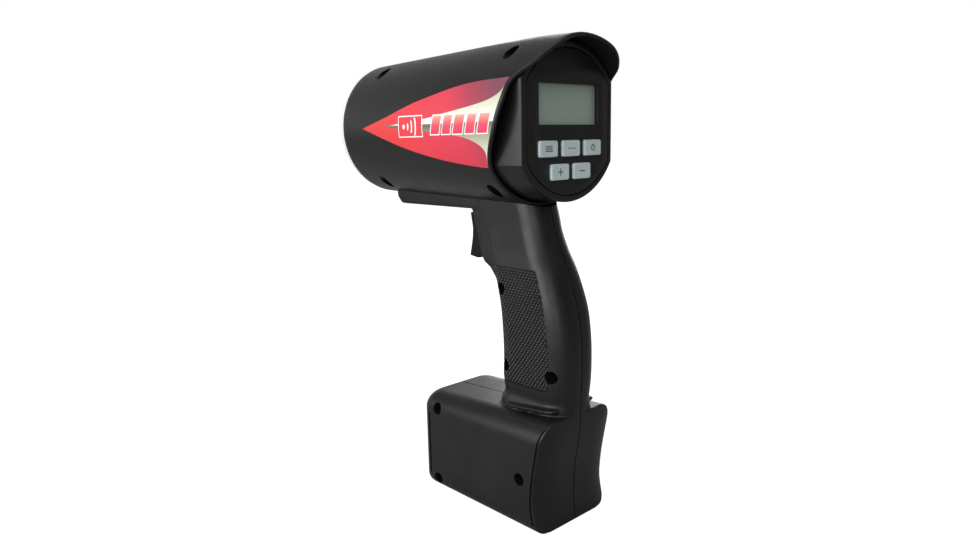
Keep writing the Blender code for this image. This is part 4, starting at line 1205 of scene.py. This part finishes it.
def make_screws():
    """Pan head screws with threads and a cross recess."""
    back = HEAD_FACE - 0.0003
    # (radius, x): point, thread, then the head from its underside to its crown
    profile = [(0.0, 0.012), (0.001, 0.012), (0.0015, 0.0112)]
    for number in range(20):
        x = 0.0105 - number * 0.00085
        profile += [(0.0015, x), (0.0012, x - 0.0004)]
    profile += [(0.0015, back), (0.0026, back), (0.0029, back - 0.0004), (0.0029, back - 0.0009)]
    profile += [(0.0027, back - 0.0015), (0.0021, back - 0.002), (0.0012, back - 0.0022), (0.0, back - 0.0022)]
    for group, places in (("barrel_screw", BARREL_SCREWS), ("grip_screw", GRIP_SCREWS), ("base_screw", BASE_SCREWS)):
        for number, (y, z) in enumerate(places, 1):
            bm = bmesh.new()
            revolve(bm, profile, 24, lambda radius, x, t: (x, y + radius * cos(t), z + radius * sin(t)))
            screw = mesh_of(f"{group}_{number}_cross_head", bm, 30)
            for wide, tall in ((0.0017, 0.00035), (0.00035, 0.0017)):
                carve(screw, [((back - 0.003, y - wide, z - tall), (back - 0.001, y + wide, z + tall))])
            show(screw, BLACK_ZINC, replaces=[f"{group}_{number}"])


# ------------------------------------------------------------------ what the CAD shows, and the studio


def dress_cad_nodes():
    """Materials for the CAD nodes that stay, by how their names start."""
    looks = (
        (BLACK, ("antenna_ring", "battery_tray", "sounder", "trigger_switch")),
        (BOARD, ("battery_board", "display_board", "display_module", "processor_board")),
        (ALUMINIUM, ("horn_antenna", "microwave_module")),
        (RUBBER, ("keypad_mat", "lens_gasket")),
        (STEEL, ("trigger_pin", "trigger_spring")),
        (FILM, ("battery_cell_",)),
        (WIRE, ("power_lead",)),
        (KEY_PLASTIC, ("switch_plunger",)),
    )
    for name, node in frame["nodes"].items():
        for look, starts in looks:
            if name.startswith(starts) and not node.hide_render:
                for slot in node.material_slots:
                    slot.material = look


def make_camera():
    data = bpy.data.cameras.new("camera")
    data.lens, data.sensor_width = 27.21, 36
    data.clip_start, data.clip_end = 0.01, 50
    camera = linked("camera", data)
    camera.matrix_world = Matrix.Translation(world((-0.3438, -0.2959, -0.0084)))
    for degrees, axis in ((-42.95, "Z"), (90 - 10.47, "X"), (-1.18, "Z")):
        camera.matrix_world = camera.matrix_world @ Matrix.Rotation(radians(degrees), 4, axis)
    bpy.context.scene.camera = camera


def area_light(name, place, size, power):
    """A soft box that looks at the middle of the object, its place given in the design frame."""
    data = bpy.data.lights.new(name, "AREA")
    data.shape = "RECTANGLE"
    data.size, data.size_y = size
    data.energy = power
    light = linked(name, data)
    light.location = world(place)
    light.rotation_euler = (world((0, 0.05, -0.08)) - light.location).to_track_quat("-Z", "Y").to_euler()


def make_studio():
    """A pale floor, a world that is brighter from the left and from low down, soft boxes and a weak wide sun."""
    scene = bpy.context.scene
    scene.view_settings.view_transform = "Standard"
    scene.view_settings.look = "None"
    bm = bmesh.new()
    bmesh.ops.create_grid(bm, x_segments=8, y_segments=8, size=6)
    floor = object_of("floor", bm)
    floor.location.z = FLOOR_Z
    floor.data.materials.append(floor_surface("floor_paper"))
    scene.world = bpy.data.worlds.new("studio")
    w = Nodes(scene.world, "Background", "Generated")
    stops = ((0.0, 0.62), (0.2, 0.52), (0.55, 0.3), (1.0, 0.14))
    greys = w.ramp(w.axis("Z"), [(height, (grey,) * 3) for height, grey in stops])
    across = w.map(w.maths("SUBTRACT", w.axis("X"), w.axis("Y")), 1.35, 0.5, -0.3, 0.9)
    seen = w.add("ShaderNodeLightPath").outputs["Is Camera Ray"]
    w.set(Color=w.mix(seen, w.scaled(greys, across), (1, 1, 1)), Strength=1.0)
    area_light("left_soft_box", (-1.3, 0.28, 0.16), (1.3, 0.8), 15)
    area_light("camera_side_soft_box", (-1.15, -0.8, 0.1), (0.8, 0.9), 4.5)
    area_light("right_soft_box", (1.3, 0.75, 0.3), (1.0, 0.9), 7)
    area_light("rear_top_soft_box", (0.6, -0.7, 1.3), (1.0, 1.0), 1.5)
    area_light("top_soft_box", (-0.3, 0.2, 1.4), (1.4, 1.4), 4.2)
    data = bpy.data.lights.new("overhead", "SUN")
    data.energy, data.angle = 0.55, radians(70)
    linked("overhead", data).rotation_euler = (radians(8), radians(-12), 0)


make_barrel()
make_label()
make_housing()
make_face_plate()
make_keys()
make_display()
make_lens()
make_handle()
make_grip_panels()
make_trigger()
make_screws()
dress_cad_nodes()
make_camera()
make_studio()

bpy.context.view_layer.update()
